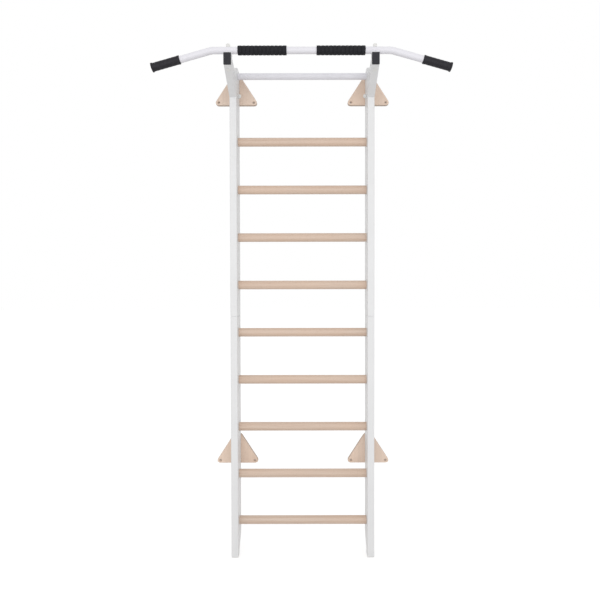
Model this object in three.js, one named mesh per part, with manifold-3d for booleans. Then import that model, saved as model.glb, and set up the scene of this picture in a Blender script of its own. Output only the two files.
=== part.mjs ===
// Swedish wall bars with a pull-up bar, in millimetres.
// +Z is up, +Y points at the wall and +X is to the right of someone who faces the bars.
// The wall is the plane Y = 0, the floor is Z = 0, and X = 0 lies midway between the uprights.
import * as THREE from "three";
import { mergeVertices } from "three/addons/utils/BufferGeometryUtils.js";
import Module from "manifold-3d";

// Fits
const FIT_GAP = 0.3; // left between pieces that touch
const HOLE_CLEARANCE = 0.6; // added to the diameter of a bolt

// Uprights: white box sections in two lengths, closed and rounded at the top
const FRAME_WIDTH = 670;
const UPRIGHT_HEIGHT = 2300;
const UPRIGHT_WIDTH = 32;
const UPRIGHT_DEPTH = 120;
const UPRIGHT_WALL = 2;
const UPRIGHT_EDGE_RADIUS = 3;
const UPRIGHT_TOP_RADIUS = 60; // front corner of the top end
const NOTCH_DEPTH = 70; // room for the skirting board at the rear of the foot
const NOTCH_HEIGHT = 75;
const NOTCH_SLOPE = THREE.MathUtils.degToRad(40);

// Rungs: oval beech bars and one steel tube at the top
const RUNG_HEIGHT = 41;
const RUNG_DEPTH = 32;
const RUNG_PITCH = 225;
const LOWEST_RUNG = 155; // centre above the floor
const RUNG_BELOW_TONGUE = 100; // least distance from the highest wooden rung up to the arms' tongues
const TOP_RUNG_DIAMETER = 30;
const TOP_RUNG_WALL = 2;
const TOP_RUNG_DROP = 37; // centre below the top of the uprights

// Joint between the two lengths of an upright
const LOWER_SECTION_RUNGS = 5;
const SEAM_ABOVE_RUNG = 78; // above the centre of the lower section's last rung
const SLEEVE_WALL = 3;
const SLEEVE_RUNG_GAP = 5;
const JOINT_SCREW_DIAMETER = 6;
const JOINT_SCREW_REACH = 4; // past the sleeve's wall

// Feet: plugs that close the uprights at the floor
const FOOT_PLATE = 4;
const FOOT_PLUG_HEIGHT = 14;

// Wall plates: rounded triangles behind the uprights
const PLATE_THICKNESS = 20;
const PLATE_BASE_WIDTH = 221; // between the sharp corners, before they are rounded
const PLATE_APEX_ANGLE = THREE.MathUtils.degToRad(66);
const PLATE_BASE_RADIUS = 15;
const PLATE_APEX_RADIUS = 30;
const PLATE_EDGE_RADIUS = 2;
const UPPER_PLATE_DROP = 151; // base edge below the top of the uprights
const LOWER_PLATE_RISE = 410; // base edge above the floor
const WALL_HOLE_DIAMETER = 7;
const WALL_HOLE_SINK = 14; // diameter of the countersink
const WALL_HOLE_INSET = 26.5; // from the sharp corner, along the base
const WALL_HOLE_RISE = 13; // from the base edge
const PLATE_BOLT_DIAMETER = 8;
const PLATE_BOLT_RISE = 35; // lower bolt above the base edge
const PLATE_BOLT_SPACING = 55;
const PLATE_BOLT_REACH = 15; // past the rear wall of the upright
const PLATE_BOLT_RECESS = 9; // depth of the head's seat in the rear face
const NUT_BOSS_DIAMETER = 13; // pressed-in nut behind the upright's rear wall
const NUT_BOSS_LENGTH = 10;

// Arms: box sections that rise forward from the uprights and narrow towards their ends
const ARM_REACH = 171;
const ARM_ROOT_HEIGHT = 90;
const ARM_TIP_HEIGHT = 51; // of its upright front end
const ARM_WALL = 2.5;
const ARM_CORNER_RADIUS = 2;
const ARM_SLOPE = THREE.MathUtils.degToRad(24.8); // of the lower side
const ARM_ROOT_DROP = 154; // lower rear edge below the top of the uprights
const ARM_ROOT_PLATE = 6;
const TONGUE_HEIGHT = 40; // block behind the arm that enters the upright
const TONGUE_RISE = 25.4; // its middle above the arm's lower rear edge
const TONGUE_REAR_GAP = 40; // from the tongue's end to the rear of the upright
const ARM_BOLT_DIAMETER = 10;
const ARM_BOLT_INSET = 18; // from the end of the tongue
const CAP_THICKNESS = 5;
const CAP_OVERHANG = 0.6;
const CAP_EDGE_RADIUS = 1.5;
const CAP_PLUG_DEPTH = 8;

// Pull-up bar: one tube, bent down at both ends, bolted down on a saddle at each arm
const BAR_DIAMETER = 30;
const BAR_WALL = 2.5;
const BAR_SETBACK = 26; // behind the arm's front end
const BAR_BEND_BEYOND_ARM = 42; // from the arm's outer side
const BAR_BEND_RADIUS = 100;
const BAR_BEND_ANGLE = THREE.MathUtils.degToRad(15.8);
const BAR_DROOP_LENGTH = 254; // straight end beyond each bend
const SADDLE_THICKNESS = 10.7; // at the bolt
const SADDLE_WRAP = THREE.MathUtils.degToRad(50); // to either side of the bar's lowest line
const BAR_BOLT_DIAMETER = 8;
const BOLT_SEAT_DIAMETER = 15; // boss inside the arm
const BOLT_SEAT_HEIGHT = 1; // of the boss, at its thinnest
const ACCESS_HOLE_GAP = 1; // around the bolt's head, in the arm's lower wall
const PLUG_RIM_WIDTH = 1.5; // of the plug in that hole
const PLUG_RIM_HEIGHT = 1;
const PLUG_STEM_HEIGHT = 5;

// Domed nuts on the bolts of the arms and the bar
const DOME_NUT_FLATS = 17;
const DOME_NUT_HEX_HEIGHT = 10;
const DOME_NUT_HEIGHT = 14.5;
const DOME_NUT_CROWN = 3; // above the bolt's end

// Grips
const INNER_GRIP_WALL = 4;
const INNER_GRIP_CENTRE_GAP = 130;
const INNER_GRIP_ARM_GAP = 26.5;
const RIB_PITCH = 17.5;
const RIB_GROOVE_WIDTH = 5;
const RIB_GROOVE_DEPTH = 1.4;
const END_GRIP_LENGTH = 130;
const END_GRIP_WALL = 3.1;
const END_GRIP_END = 5; // thickness of the closed end
const END_GRIP_COLLAR_LENGTH = 9;
const END_GRIP_COLLAR_RISE = 0.8;
const END_GRIP_FLANGE_LENGTH = 10;
const END_GRIP_FLANGE_RISE = 1.8;

// Heads of the bolts: widths, heights and depths are multiples of the bolt's diameter
const BUTTON_HEAD_WIDTH = 1.75;
const BUTTON_HEAD_HEIGHT = 0.55;
const CAP_HEAD_WIDTH = 1.625;
const CAP_HEAD_HEIGHT = 1;
const BUTTON_CROWN = 0.6; // share of the head's height that is bevelled
const CAP_CROWN = 0.1;
const HEX_SOCKET_WIDTH = 0.7;
const HEX_SOCKET_DEPTH = 0.35;

// Facets
const ARC_STEPS = 3; // on half of an outline's arc
const EDGE_STEPS = 2; // on a rounded edge
const ROUND_STEPS = 20; // round a bar or tube
const GRIP_STEPS = 12; // round a grip
const BOLT_STEPS = 8; // round a bolt or its hole
const BEND_STEPS = 3; // along each bend of the bar

// Places worked out from the sizes
const UPRIGHT_X = (FRAME_WIDTH - UPRIGHT_WIDTH) / 2;
const REAR_Y = -PLATE_THICKNESS - FIT_GAP;
const FRONT_Y = REAR_Y - UPRIGHT_DEPTH;
const RUNG_Y = (FRONT_Y + REAR_Y) / 2;
const CAVITY_WIDTH = UPRIGHT_WIDTH - 2 * UPRIGHT_WALL;
const CAVITY_RADIUS = UPRIGHT_EDGE_RADIUS - UPRIGHT_WALL;
const RUNG_LENGTH = FRAME_WIDTH - 2 * (UPRIGHT_WALL + FIT_GAP);
const TOP_RUNG_Z = UPRIGHT_HEIGHT - TOP_RUNG_DROP;

const ARM_RISE = Math.tan(ARM_SLOPE); // height gained for each millimetre forward
const ARM_TOP_RISE = ARM_RISE - (ARM_ROOT_HEIGHT - ARM_TIP_HEIGHT) / ARM_REACH; // of the upper side
const ARM_TIP_MIDDLE = ARM_REACH * ARM_RISE + ARM_TIP_HEIGHT / 2; // above the lower rear edge
const ARM_REAR_Y = FRONT_Y - FIT_GAP;
const ARM_ROOT_Z = UPRIGHT_HEIGHT - ARM_ROOT_DROP;
const TONGUE_Z = ARM_ROOT_Z + TONGUE_RISE;
const TONGUE_END_Y = REAR_Y - TONGUE_REAR_GAP;
const ARM_BOLT_Y = TONGUE_END_Y - ARM_BOLT_INSET;

const HIGHEST_RUNG_LIMIT = TONGUE_Z - TONGUE_HEIGHT / 2 - RUNG_BELOW_TONGUE;
const RUNG_COUNT = Math.floor((HIGHEST_RUNG_LIMIT - LOWEST_RUNG) / RUNG_PITCH) + 1;
const RUNG_ZS = Array.from({ length: RUNG_COUNT }, (_, i) => LOWEST_RUNG + i * RUNG_PITCH);
const RUNG_BELOW_SEAM = LOWEST_RUNG + (LOWER_SECTION_RUNGS - 1) * RUNG_PITCH;
const SEAM_Z = RUNG_BELOW_SEAM + SEAM_ABOVE_RUNG;
const SLEEVE_BOTTOM = RUNG_BELOW_SEAM + RUNG_HEIGHT / 2 + SLEEVE_RUNG_GAP;
const SLEEVE_TOP = RUNG_BELOW_SEAM + RUNG_PITCH - RUNG_HEIGHT / 2 - SLEEVE_RUNG_GAP;
const JOINT_SCREW_ZS = { lower: (SLEEVE_BOTTOM + SEAM_Z) / 2, upper: (SEAM_Z + SLEEVE_TOP) / 2 };

const PLATE_BASE_ZS = { upper: UPRIGHT_HEIGHT - UPPER_PLATE_DROP, lower: LOWER_PLATE_RISE };
const PLATE_BOLT_RISES = [PLATE_BOLT_RISE, PLATE_BOLT_RISE + PLATE_BOLT_SPACING];

const ARM_FRONT_Y = ARM_REAR_Y - ARM_REACH;
const BAR_Y = ARM_FRONT_Y + BAR_SETBACK;
const ARM_TOP_AT_BAR = ARM_ROOT_Z + ARM_ROOT_HEIGHT + (ARM_REAR_Y - BAR_Y) * ARM_TOP_RISE;
const BAR_RADIUS = BAR_DIAMETER / 2;
const BAR_Z = ARM_TOP_AT_BAR + SADDLE_THICKNESS + 2 * FIT_GAP + BAR_RADIUS;
const GRIP_BORE = (BAR_RADIUS + FIT_GAP) / Math.cos(Math.PI / GRIP_STEPS); // its flats clear the bar
const BAR_BEND_START = FRAME_WIDTH / 2 + BAR_BEND_BEYOND_ARM;
const BOLT_SEAT_SLANT = (BOLT_SEAT_DIAMETER / 2) * ARM_TOP_RISE;
const BOLT_SEAT_Z = ARM_TOP_AT_BAR - ARM_WALL / Math.cos(ARM_SLOPE) - BOLT_SEAT_SLANT - BOLT_SEAT_HEIGHT;
const DOME_NUT_Z = BAR_Z + BAR_RADIUS + FIT_GAP;
const ACCESS_HOLE_DIAMETER = BAR_BOLT_DIAMETER * CAP_HEAD_WIDTH + 2 * ACCESS_HOLE_GAP;

const wasm = await Module();
wasm.setup();

// A closed geometry as a solid that can be joined and cut.
function toSolid(geometry) {
  const bare = geometry.clone();
  bare.deleteAttribute("normal");
  bare.deleteAttribute("uv");
  const merged = mergeVertices(bare);
  const vertProperties = merged.attributes.position.array;
  const triVerts = new Uint32Array(merged.index.array);
  return new wasm.Manifold(new wasm.Mesh({ numProp: 3, vertProperties, triVerts }));
}

function toGeometry(solid) {
  const { vertProperties, triVerts } = solid.getMesh();
  const geometry = new THREE.BufferGeometry();
  geometry.setAttribute("position", new THREE.BufferAttribute(vertProperties, 3));
  geometry.setIndex(new THREE.BufferAttribute(triVerts, 1));
  geometry.computeVertexNormals();
  return geometry;
}

// The first geometry, with others joined to it and then others cut from it.
function combine(base, { joined = [], cut = [] }) {
  let solid = toSolid(base);
  for (const geometry of joined) {
    solid = solid.add(toSolid(geometry));
  }
  for (const geometry of cut) {
    solid = solid.subtract(toSolid(geometry));
  }
  return toGeometry(solid);
}

// Outline through corners [x, y, radius], anticlockwise, with an arc wherever the radius isn't 0.
function roundedOutline(corners) {
  const outline = new THREE.Shape();
  corners.forEach(([x, y, radius], i) => {
    const corner = new THREE.Vector2(x, y);
    const back = new THREE.Vector2(...corners.at(i - 1)).sub(corner).normalize();
    const ahead = new THREE.Vector2(...corners[(i + 1) % corners.length]).sub(corner).normalize();
    if (radius > 0) {
      const half = Math.acos(back.dot(ahead)) / 2;
      const centre = back.clone().add(ahead).setLength(radius / Math.sin(half)).add(corner);
      const reach = radius / Math.tan(half);
      const start = back.clone().multiplyScalar(reach).add(corner).sub(centre).angle();
      const end = ahead.clone().multiplyScalar(reach).add(corner).sub(centre).angle();
      outline.absarc(centre.x, centre.y, radius, start, end, back.cross(ahead) > 0);
    } else if (i === 0) {
      outline.moveTo(x, y);
    } else {
      outline.lineTo(x, y);
    }
  });
  return outline;
}

// Rectangle round the origin, with rounded corners.
function rectangle(width, height, radius) {
  const x = width / 2;
  const y = height / 2;
  return roundedOutline([
    [x, -y, radius],
    [x, y, radius],
    [-x, y, radius],
    [-x, -y, radius],
  ]);
}

function ellipse(width, height) {
  return new THREE.Shape().absellipse(0, 0, width / 2, height / 2, 0, 2 * Math.PI);
}

// Prism on an outline, from 0 to its depth along Z, with its end edges rounded inside that depth.
function prism(outline, depth, edgeRadius = 0, curveSegments = ARC_STEPS) {
  const geometry = new THREE.ExtrudeGeometry(outline, {
    depth: depth - 2 * edgeRadius,
    bevelEnabled: edgeRadius > 0,
    bevelThickness: edgeRadius,
    bevelSize: edgeRadius,
    bevelOffset: -edgeRadius,
    bevelSegments: EDGE_STEPS,
    curveSegments,
  });
  return geometry.translate(0, 0, edgeRadius);
}

// Prism centred on X = 0 along X, whose outline lies in Y and Z.
const SECTION_TO_X = new THREE.Matrix4().makeBasis(
  new THREE.Vector3(0, 1, 0),
  new THREE.Vector3(0, 0, 1),
  new THREE.Vector3(1, 0, 0),
);
function prismAlongX(outline, length, edgeRadius = 0, curveSegments = ARC_STEPS) {
  const geometry = prism(outline, length, edgeRadius, curveSegments);
  return geometry.translate(0, 0, -length / 2).applyMatrix4(SECTION_TO_X);
}

// Prism that runs forward from Y = 0, whose outline lies in X and Z.
function prismForward(outline, length, edgeRadius = 0) {
  return prism(outline, length, edgeRadius).rotateX(Math.PI / 2);
}

// Box between two corners.
function boxBetween(low, high) {
  const size = high.clone().sub(low);
  const middle = high.clone().add(low).multiplyScalar(0.5);
  return new THREE.BoxGeometry(size.x, size.y, size.z).translate(middle.x, middle.y, middle.z);
}

const X_AXIS = new THREE.Vector3(1, 0, 0);
const Y_AXIS = new THREE.Vector3(0, 1, 0);
const Z_AXIS = new THREE.Vector3(0, 0, 1);

// Turns a shape made along Y so that it points along a direction.
function pointAlong(geometry, direction) {
  return geometry.applyQuaternion(new THREE.Quaternion().setFromUnitVectors(Y_AXIS, direction));
}

// Round cutter or boss centred on a point.
function rod(diameter, length, direction, centre, steps = BOLT_STEPS) {
  const geometry = new THREE.CylinderGeometry(diameter / 2, diameter / 2, length, steps);
  return pointAlong(geometry, direction).translate(centre.x, centre.y, centre.z);
}

function boltHole(diameter, length, direction, centre) {
  return rod(diameter + HOLE_CLEARANCE, length, direction, centre);
}

// Bolt along Y with a hexagon socket: its head lies below Y = 0 and its shank above.
function boltGeometry(diameter, shankLength, headWidth, headHeight, crownShare) {
  const radius = diameter / 2;
  const headRadius = headWidth / 2;
  const crown = headHeight * crownShare;
  const profile = [
    new THREE.Vector2(0, -headHeight),
    new THREE.Vector2(headRadius - crown, -headHeight),
    new THREE.Vector2(headRadius, crown - headHeight),
    new THREE.Vector2(headRadius, 0),
    new THREE.Vector2(radius, 0),
    new THREE.Vector2(radius, shankLength),
    new THREE.Vector2(0, shankLength),
  ];
  const socketRadius = (diameter * HEX_SOCKET_WIDTH) / 2;
  const socketDepth = diameter * HEX_SOCKET_DEPTH;
  const socket = new THREE.CylinderGeometry(socketRadius, socketRadius, 2 * socketDepth, 6);
  socket.translate(0, -headHeight, 0);
  return combine(new THREE.LatheGeometry(profile, BOLT_STEPS), { cut: [socket] });
}

function buttonBolt(diameter, shankLength) {
  const height = diameter * BUTTON_HEAD_HEIGHT;
  return boltGeometry(diameter, shankLength, diameter * BUTTON_HEAD_WIDTH, height, BUTTON_CROWN);
}

function capBolt(diameter, shankLength) {
  const height = diameter * CAP_HEAD_HEIGHT;
  return boltGeometry(diameter, shankLength, diameter * CAP_HEAD_WIDTH, height, CAP_CROWN);
}

// Materials, one for each mesh
const FINISHES = {
  whiteCoat: { color: 0xecebea, roughness: 0.42, metalness: 0 },
  whitePlastic: { color: 0xe4e4e4, roughness: 0.5, metalness: 0 },
  beech: { color: 0xd0b299, roughness: 0.55, metalness: 0 },
  blackRubber: { color: 0x2b2a2e, roughness: 0.85, metalness: 0 },
  blackPlastic: { color: 0x3b3c40, roughness: 0.5, metalness: 0 },
  steel: { color: 0xb9bcc0, roughness: 0.35, metalness: 0.9 },
};

const wallBars = new THREE.Group();

function addPart(name, geometry, finish, x = 0, y = 0, z = 0) {
  const mesh = new THREE.Mesh(geometry, new THREE.MeshStandardMaterial(FINISHES[finish]));
  mesh.name = name;
  mesh.position.set(x, y, z);
  wallBars.add(mesh);
  return mesh;
}

const SIDES = [
  { side: "left", sign: -1 },
  { side: "right", sign: 1 },
];

// Side view of an upright, or of its cavity when an inset is given, with Y across and Z up.
function uprightOutline(inset, bottom) {
  const front = FRONT_Y + inset;
  const rear = REAR_Y - inset;
  const heel = rear - NOTCH_DEPTH;
  const top = UPRIGHT_HEIGHT - inset;
  const lift = (inset * (1 - Math.sin(NOTCH_SLOPE))) / Math.cos(NOTCH_SLOPE);
  const notchTop = NOTCH_HEIGHT + lift;
  return roundedOutline([
    [front, bottom, 0],
    [heel, bottom, 0],
    [heel, notchTop - NOTCH_DEPTH * Math.tan(NOTCH_SLOPE), 0],
    [rear, notchTop, 0],
    [rear, top, 0],
    [front, top, UPRIGHT_TOP_RADIUS - inset],
  ]);
}

// One length of an upright round X = 0: a box section with sockets in its inner wall.
function uprightSection(section, sign) {
  const isUpper = section === "upper";
  const bottom = isUpper ? SEAM_Z + FIT_GAP / 2 : FOOT_PLATE + FIT_GAP;
  const top = isUpper ? UPRIGHT_HEIGHT : SEAM_Z - FIT_GAP / 2;
  const outer = toSolid(prismAlongX(uprightOutline(0, 0), UPRIGHT_WIDTH, UPRIGHT_EDGE_RADIUS));
  const belowFloor = -UPRIGHT_WIDTH;
  const cavity = toSolid(prismAlongX(uprightOutline(UPRIGHT_WALL, belowFloor), CAVITY_WIDTH, CAVITY_RADIUS));
  const span = boxBetween(
    new THREE.Vector3(-UPRIGHT_WIDTH, FRONT_Y - UPRIGHT_WIDTH, bottom),
    new THREE.Vector3(UPRIGHT_WIDTH, REAR_Y + UPRIGHT_WIDTH, top),
  );
  const shell = outer.subtract(cavity).intersect(toSolid(span));

  const joined = [];
  const cut = [];
  const innerFace = new THREE.Vector3((-sign * UPRIGHT_WIDTH) / 2, RUNG_Y, 0);
  const rungSocket = ellipse(RUNG_DEPTH + 2 * FIT_GAP, RUNG_HEIGHT + 2 * FIT_GAP);
  for (const z of RUNG_ZS.filter((height) => height > bottom && height < top)) {
    const socket = prismAlongX(rungSocket, UPRIGHT_WIDTH, 0, ROUND_STEPS / 2);
    cut.push(socket.translate(innerFace.x, innerFace.y, z));
  }
  const screwHole = new THREE.Vector3((sign * UPRIGHT_WIDTH) / 2, RUNG_Y, JOINT_SCREW_ZS[section]);
  cut.push(boltHole(JOINT_SCREW_DIAMETER, UPRIGHT_WIDTH, X_AXIS, screwHole));
  const bossMiddle = REAR_Y - UPRIGHT_WALL / 2 - NUT_BOSS_LENGTH / 2;
  for (const rise of PLATE_BOLT_RISES) {
    const centre = new THREE.Vector3(0, bossMiddle, PLATE_BASE_ZS[section] + rise);
    joined.push(rod(NUT_BOSS_DIAMETER, NUT_BOSS_LENGTH, Y_AXIS, centre));
    cut.push(boltHole(PLATE_BOLT_DIAMETER, 3 * NUT_BOSS_LENGTH, Y_AXIS, centre));
  }
  if (isUpper) {
    const topSocket = TOP_RUNG_DIAMETER + 2 * FIT_GAP;
    cut.push(rod(topSocket, UPRIGHT_WIDTH, X_AXIS, innerFace.clone().setZ(TOP_RUNG_Z), ROUND_STEPS));
    const slotX = CAVITY_WIDTH / 2;
    const slotZ = TONGUE_HEIGHT / 2 + FIT_GAP;
    const slotLow = new THREE.Vector3(-slotX, FRONT_Y - UPRIGHT_WALL, TONGUE_Z - slotZ);
    const slotHigh = new THREE.Vector3(slotX, FRONT_Y + UPRIGHT_EDGE_RADIUS, TONGUE_Z + slotZ);
    cut.push(boxBetween(slotLow, slotHigh));
    const armBoltHole = new THREE.Vector3(0, ARM_BOLT_Y, TONGUE_Z);
    cut.push(boltHole(ARM_BOLT_DIAMETER, 2 * UPRIGHT_WIDTH, X_AXIS, armBoltHole));
  }
  return combine(toGeometry(shell), { joined, cut });
}

// Sleeve inside the joint of an upright, round X = 0 and from Z = 0 up.
function jointSleeve(sign) {
  const width = CAVITY_WIDTH - 2 * FIT_GAP;
  const depth = UPRIGHT_DEPTH - 2 * (UPRIGHT_WALL + FIT_GAP);
  const length = SLEEVE_TOP - SLEEVE_BOTTOM;
  const bore = prism(rectangle(width - 2 * SLEEVE_WALL, depth - 2 * SLEEVE_WALL, 0), 3 * length);
  const cut = [bore.translate(0, 0, -length)];
  for (const z of Object.values(JOINT_SCREW_ZS)) {
    const centre = new THREE.Vector3((sign * width) / 2, 0, z - SLEEVE_BOTTOM);
    cut.push(boltHole(JOINT_SCREW_DIAMETER, width, X_AXIS, centre));
  }
  return combine(prism(rectangle(width, depth, CAVITY_RADIUS), length), { cut });
}

// Plug and plate that close an upright at the floor, round X = 0.
function footCap() {
  const depth = UPRIGHT_DEPTH - NOTCH_DEPTH;
  const inset = UPRIGHT_WALL + FIT_GAP;
  const plate = prism(rectangle(UPRIGHT_WIDTH, depth, UPRIGHT_EDGE_RADIUS), FOOT_PLATE);
  const plugOutline = rectangle(UPRIGHT_WIDTH - 2 * inset, depth - 2 * inset, CAVITY_RADIUS);
  const plug = prism(plugOutline, FOOT_PLATE / 2 + FOOT_PLUG_HEIGHT);
  plug.translate(0, 0, FOOT_PLATE / 2);
  return combine(plate, { joined: [plug] });
}

// Triangular plate whose rear face is Y = 0 and whose base edge is Z = 0.
function wallPlate() {
  const halfBase = PLATE_BASE_WIDTH / 2;
  const outline = roundedOutline([
    [-halfBase, 0, PLATE_BASE_RADIUS],
    [halfBase, 0, PLATE_BASE_RADIUS],
    [0, halfBase / Math.tan(PLATE_APEX_ANGLE / 2), PLATE_APEX_RADIUS],
  ]);
  const cut = [];
  const sinkRadius = WALL_HOLE_SINK / 2;
  for (const sign of [-1, 1]) {
    const x = sign * (halfBase - WALL_HOLE_INSET);
    const hole = new THREE.Vector3(x, -PLATE_THICKNESS / 2, WALL_HOLE_RISE);
    cut.push(rod(WALL_HOLE_DIAMETER, 2 * PLATE_THICKNESS, Y_AXIS, hole));
    const sink = new THREE.ConeGeometry(2 * sinkRadius, 2 * sinkRadius, BOLT_STEPS);
    cut.push(sink.translate(x, -PLATE_THICKNESS, WALL_HOLE_RISE));
  }
  const headSeat = PLATE_BOLT_DIAMETER * CAP_HEAD_WIDTH + 2 * HOLE_CLEARANCE;
  for (const rise of PLATE_BOLT_RISES) {
    const rear = new THREE.Vector3(0, 0, rise);
    cut.push(boltHole(PLATE_BOLT_DIAMETER, 3 * PLATE_THICKNESS, Y_AXIS, rear));
    cut.push(rod(headSeat, 2 * PLATE_BOLT_RECESS, Y_AXIS, rear));
  }
  return combine(prismForward(outline, PLATE_THICKNESS, PLATE_EDGE_RADIUS), { cut });
}

// Part of the arm from one place forward of Y = 0 to another, inset all round; its lower rear edge is Z = 0.
function armLength(inset, start, end) {
  const uprightInset = inset / Math.cos(ARM_SLOPE);
  const cornerRadius = Math.max(ARM_CORNER_RADIUS - inset, 0);
  const section = rectangle(UPRIGHT_WIDTH - 2 * inset, ARM_ROOT_HEIGHT, cornerRadius);
  const shape = prismForward(section, end - start).translate(0, -start, ARM_ROOT_HEIGHT / 2);
  const places = shape.getAttribute("position");
  for (let i = 0; i < places.count; i += 1) {
    const forward = -places.getY(i);
    const low = forward * ARM_RISE + uprightInset;
    const high = ARM_ROOT_HEIGHT + forward * ARM_TOP_RISE - uprightInset;
    places.setZ(i, low + ((high - low) * places.getZ(i)) / ARM_ROOT_HEIGHT);
  }
  return shape;
}

// Arm whose rear end is Y = 0, with its tongue behind it and the tongue's middle at Z = 0.
function arm() {
  const outer = toSolid(armLength(0, 0, ARM_REACH).translate(0, 0, -TONGUE_RISE));
  const hollow = armLength(ARM_WALL, ARM_ROOT_PLATE, ARM_REACH + ARM_ROOT_PLATE);
  hollow.translate(0, 0, -TONGUE_RISE);
  const barY = BAR_SETBACK - ARM_REACH;
  const seatMiddle = BOLT_SEAT_Z - TONGUE_Z + ARM_TIP_HEIGHT / 2;
  const boss = rod(BOLT_SEAT_DIAMETER, ARM_TIP_HEIGHT, Z_AXIS, new THREE.Vector3(0, barY, seatMiddle));
  const tube = outer.subtract(toSolid(hollow)).add(toSolid(boss).intersect(outer));

  const tongueX = CAVITY_WIDTH / 2 - FIT_GAP;
  const tongueLow = new THREE.Vector3(-tongueX, -ARM_ROOT_PLATE / 2, -TONGUE_HEIGHT / 2);
  const tongueHigh = new THREE.Vector3(tongueX, TONGUE_END_Y - ARM_REAR_Y, TONGUE_HEIGHT / 2);
  const throughTongue = new THREE.Vector3(0, ARM_BOLT_Y - ARM_REAR_Y, 0);
  const cut = [boltHole(ARM_BOLT_DIAMETER, 2 * UPRIGHT_WIDTH, X_AXIS, throughTongue)];
  const throughTop = new THREE.Vector3(0, barY, BOLT_SEAT_Z - TONGUE_Z);
  cut.push(boltHole(BAR_BOLT_DIAMETER, ARM_TIP_HEIGHT, Z_AXIS, throughTop));
  const accessZ = BOLT_SEAT_Z - TONGUE_Z - ARM_TIP_HEIGHT;
  cut.push(rod(ACCESS_HOLE_DIAMETER, 2 * ARM_TIP_HEIGHT, Z_AXIS, new THREE.Vector3(0, barY, accessZ)));
  return combine(toGeometry(tube), { joined: [boxBetween(tongueLow, tongueHigh)], cut });
}

// Slants a shape so that it rises forward with the arm's lower side.
const ARM_SHEAR = new THREE.Matrix4().set(1, 0, 0, 0, 0, 1, 0, 0, 0, -ARM_RISE, 1, 0, 0, 0, 0, 1);

// Plug in the access hole of an arm: the top of its rim is Z = 0 at its middle, and slants as the arm does.
function armPlug() {
  const rimMiddle = new THREE.Vector3(0, 0, -PLUG_RIM_HEIGHT / 2);
  const rim = rod(ACCESS_HOLE_DIAMETER + 2 * PLUG_RIM_WIDTH, PLUG_RIM_HEIGHT, Z_AXIS, rimMiddle);
  const stemMiddle = new THREE.Vector3(0, 0, (PLUG_STEM_HEIGHT - PLUG_RIM_HEIGHT) / 2);
  const stem = rod(ACCESS_HOLE_DIAMETER - 2 * FIT_GAP, PLUG_STEM_HEIGHT, Z_AXIS, stemMiddle);
  return combine(rim, { joined: [stem] }).applyMatrix4(ARM_SHEAR);
}

// Cap in the front end of an arm: its head's rear face is Y = 0, with the plug behind it.
function armEndCap() {
  const width = UPRIGHT_WIDTH + 2 * CAP_OVERHANG;
  const height = ARM_TIP_HEIGHT + 2 * CAP_OVERHANG;
  const outline = rectangle(width, height, ARM_CORNER_RADIUS + CAP_OVERHANG);
  const head = prismForward(outline, CAP_THICKNESS, CAP_EDGE_RADIUS);
  const plug = armLength(ARM_WALL + FIT_GAP, ARM_REACH - CAP_PLUG_DEPTH, ARM_REACH + CAP_THICKNESS / 2);
  plug.translate(0, ARM_REACH + FIT_GAP, -ARM_TIP_MIDDLE);
  return combine(head, { joined: [plug] });
}

// Line of sections along which an outline is swept.
class SectionLine extends THREE.Curve {
  constructor(sections) {
    super();
    this.sections = sections;
  }

  sectionAt(share) {
    return this.sections[Math.round(share * (this.sections.length - 1))];
  }

  getPointAt(share) {
    return this.sectionAt(share).point.clone();
  }

  getTangentAt(share) {
    return this.sectionAt(share).tangent.clone();
  }
}

// Point on the middle line of the bar's right half, at an angle of its bend and a length beyond it.
function barSection(sign, angle, beyond = 0) {
  const x = BAR_BEND_START + BAR_BEND_RADIUS * Math.sin(angle) + beyond * Math.cos(angle);
  const drop = BAR_BEND_RADIUS * (1 - Math.cos(angle)) + beyond * Math.sin(angle);
  return {
    point: new THREE.Vector3(sign * x, 0, -drop),
    tangent: new THREE.Vector3(Math.cos(angle), 0, -sign * Math.sin(angle)),
  };
}

// Bent tube whose level middle lies on the X axis.
function pullUpBar() {
  const half = (sign) => {
    const angles = Array.from({ length: BEND_STEPS + 1 }, (_, i) => (BAR_BEND_ANGLE * i) / BEND_STEPS);
    const bend = angles.map((angle) => barSection(sign, angle));
    return [...bend, barSection(sign, BAR_BEND_ANGLE, BAR_DROOP_LENGTH)];
  };
  const sections = [...half(-1).reverse(), ...half(1)];
  const ring = ellipse(BAR_DIAMETER, BAR_DIAMETER);
  const bore = BAR_DIAMETER - 2 * BAR_WALL;
  ring.holes.push(ellipse(bore, bore));
  const tube = new THREE.ExtrudeGeometry(ring, {
    steps: sections.length - 1,
    curveSegments: ROUND_STEPS / 2,
    extrudePath: new SectionLine(sections),
  });
  const cut = SIDES.map(({ sign }) => {
    return boltHole(BAR_BOLT_DIAMETER, 2 * BAR_DIAMETER, Z_AXIS, new THREE.Vector3(sign * UPRIGHT_X, 0, 0));
  });
  return combine(tube, { cut });
}

// Saddle between an arm and the bar, whose centre is the origin.
function barSaddle() {
  const seatRadius = BAR_RADIUS + FIT_GAP;
  const reach = seatRadius * Math.sin(SADDLE_WRAP);
  const shoulder = -seatRadius * Math.cos(SADDLE_WRAP);
  const base = ARM_TOP_AT_BAR + FIT_GAP - BAR_Z;
  const outline = new THREE.Shape();
  outline.moveTo(-reach, base + reach * ARM_TOP_RISE);
  outline.lineTo(reach, base - reach * ARM_TOP_RISE);
  outline.lineTo(reach, shoulder);
  outline.absarc(0, 0, seatRadius, SADDLE_WRAP - Math.PI / 2, -SADDLE_WRAP - Math.PI / 2, true);
  const block = prismAlongX(outline, UPRIGHT_WIDTH);
  const hole = boltHole(BAR_BOLT_DIAMETER, 4 * BAR_DIAMETER, Z_AXIS, new THREE.Vector3());
  return combine(block, { cut: [hole] });
}

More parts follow.
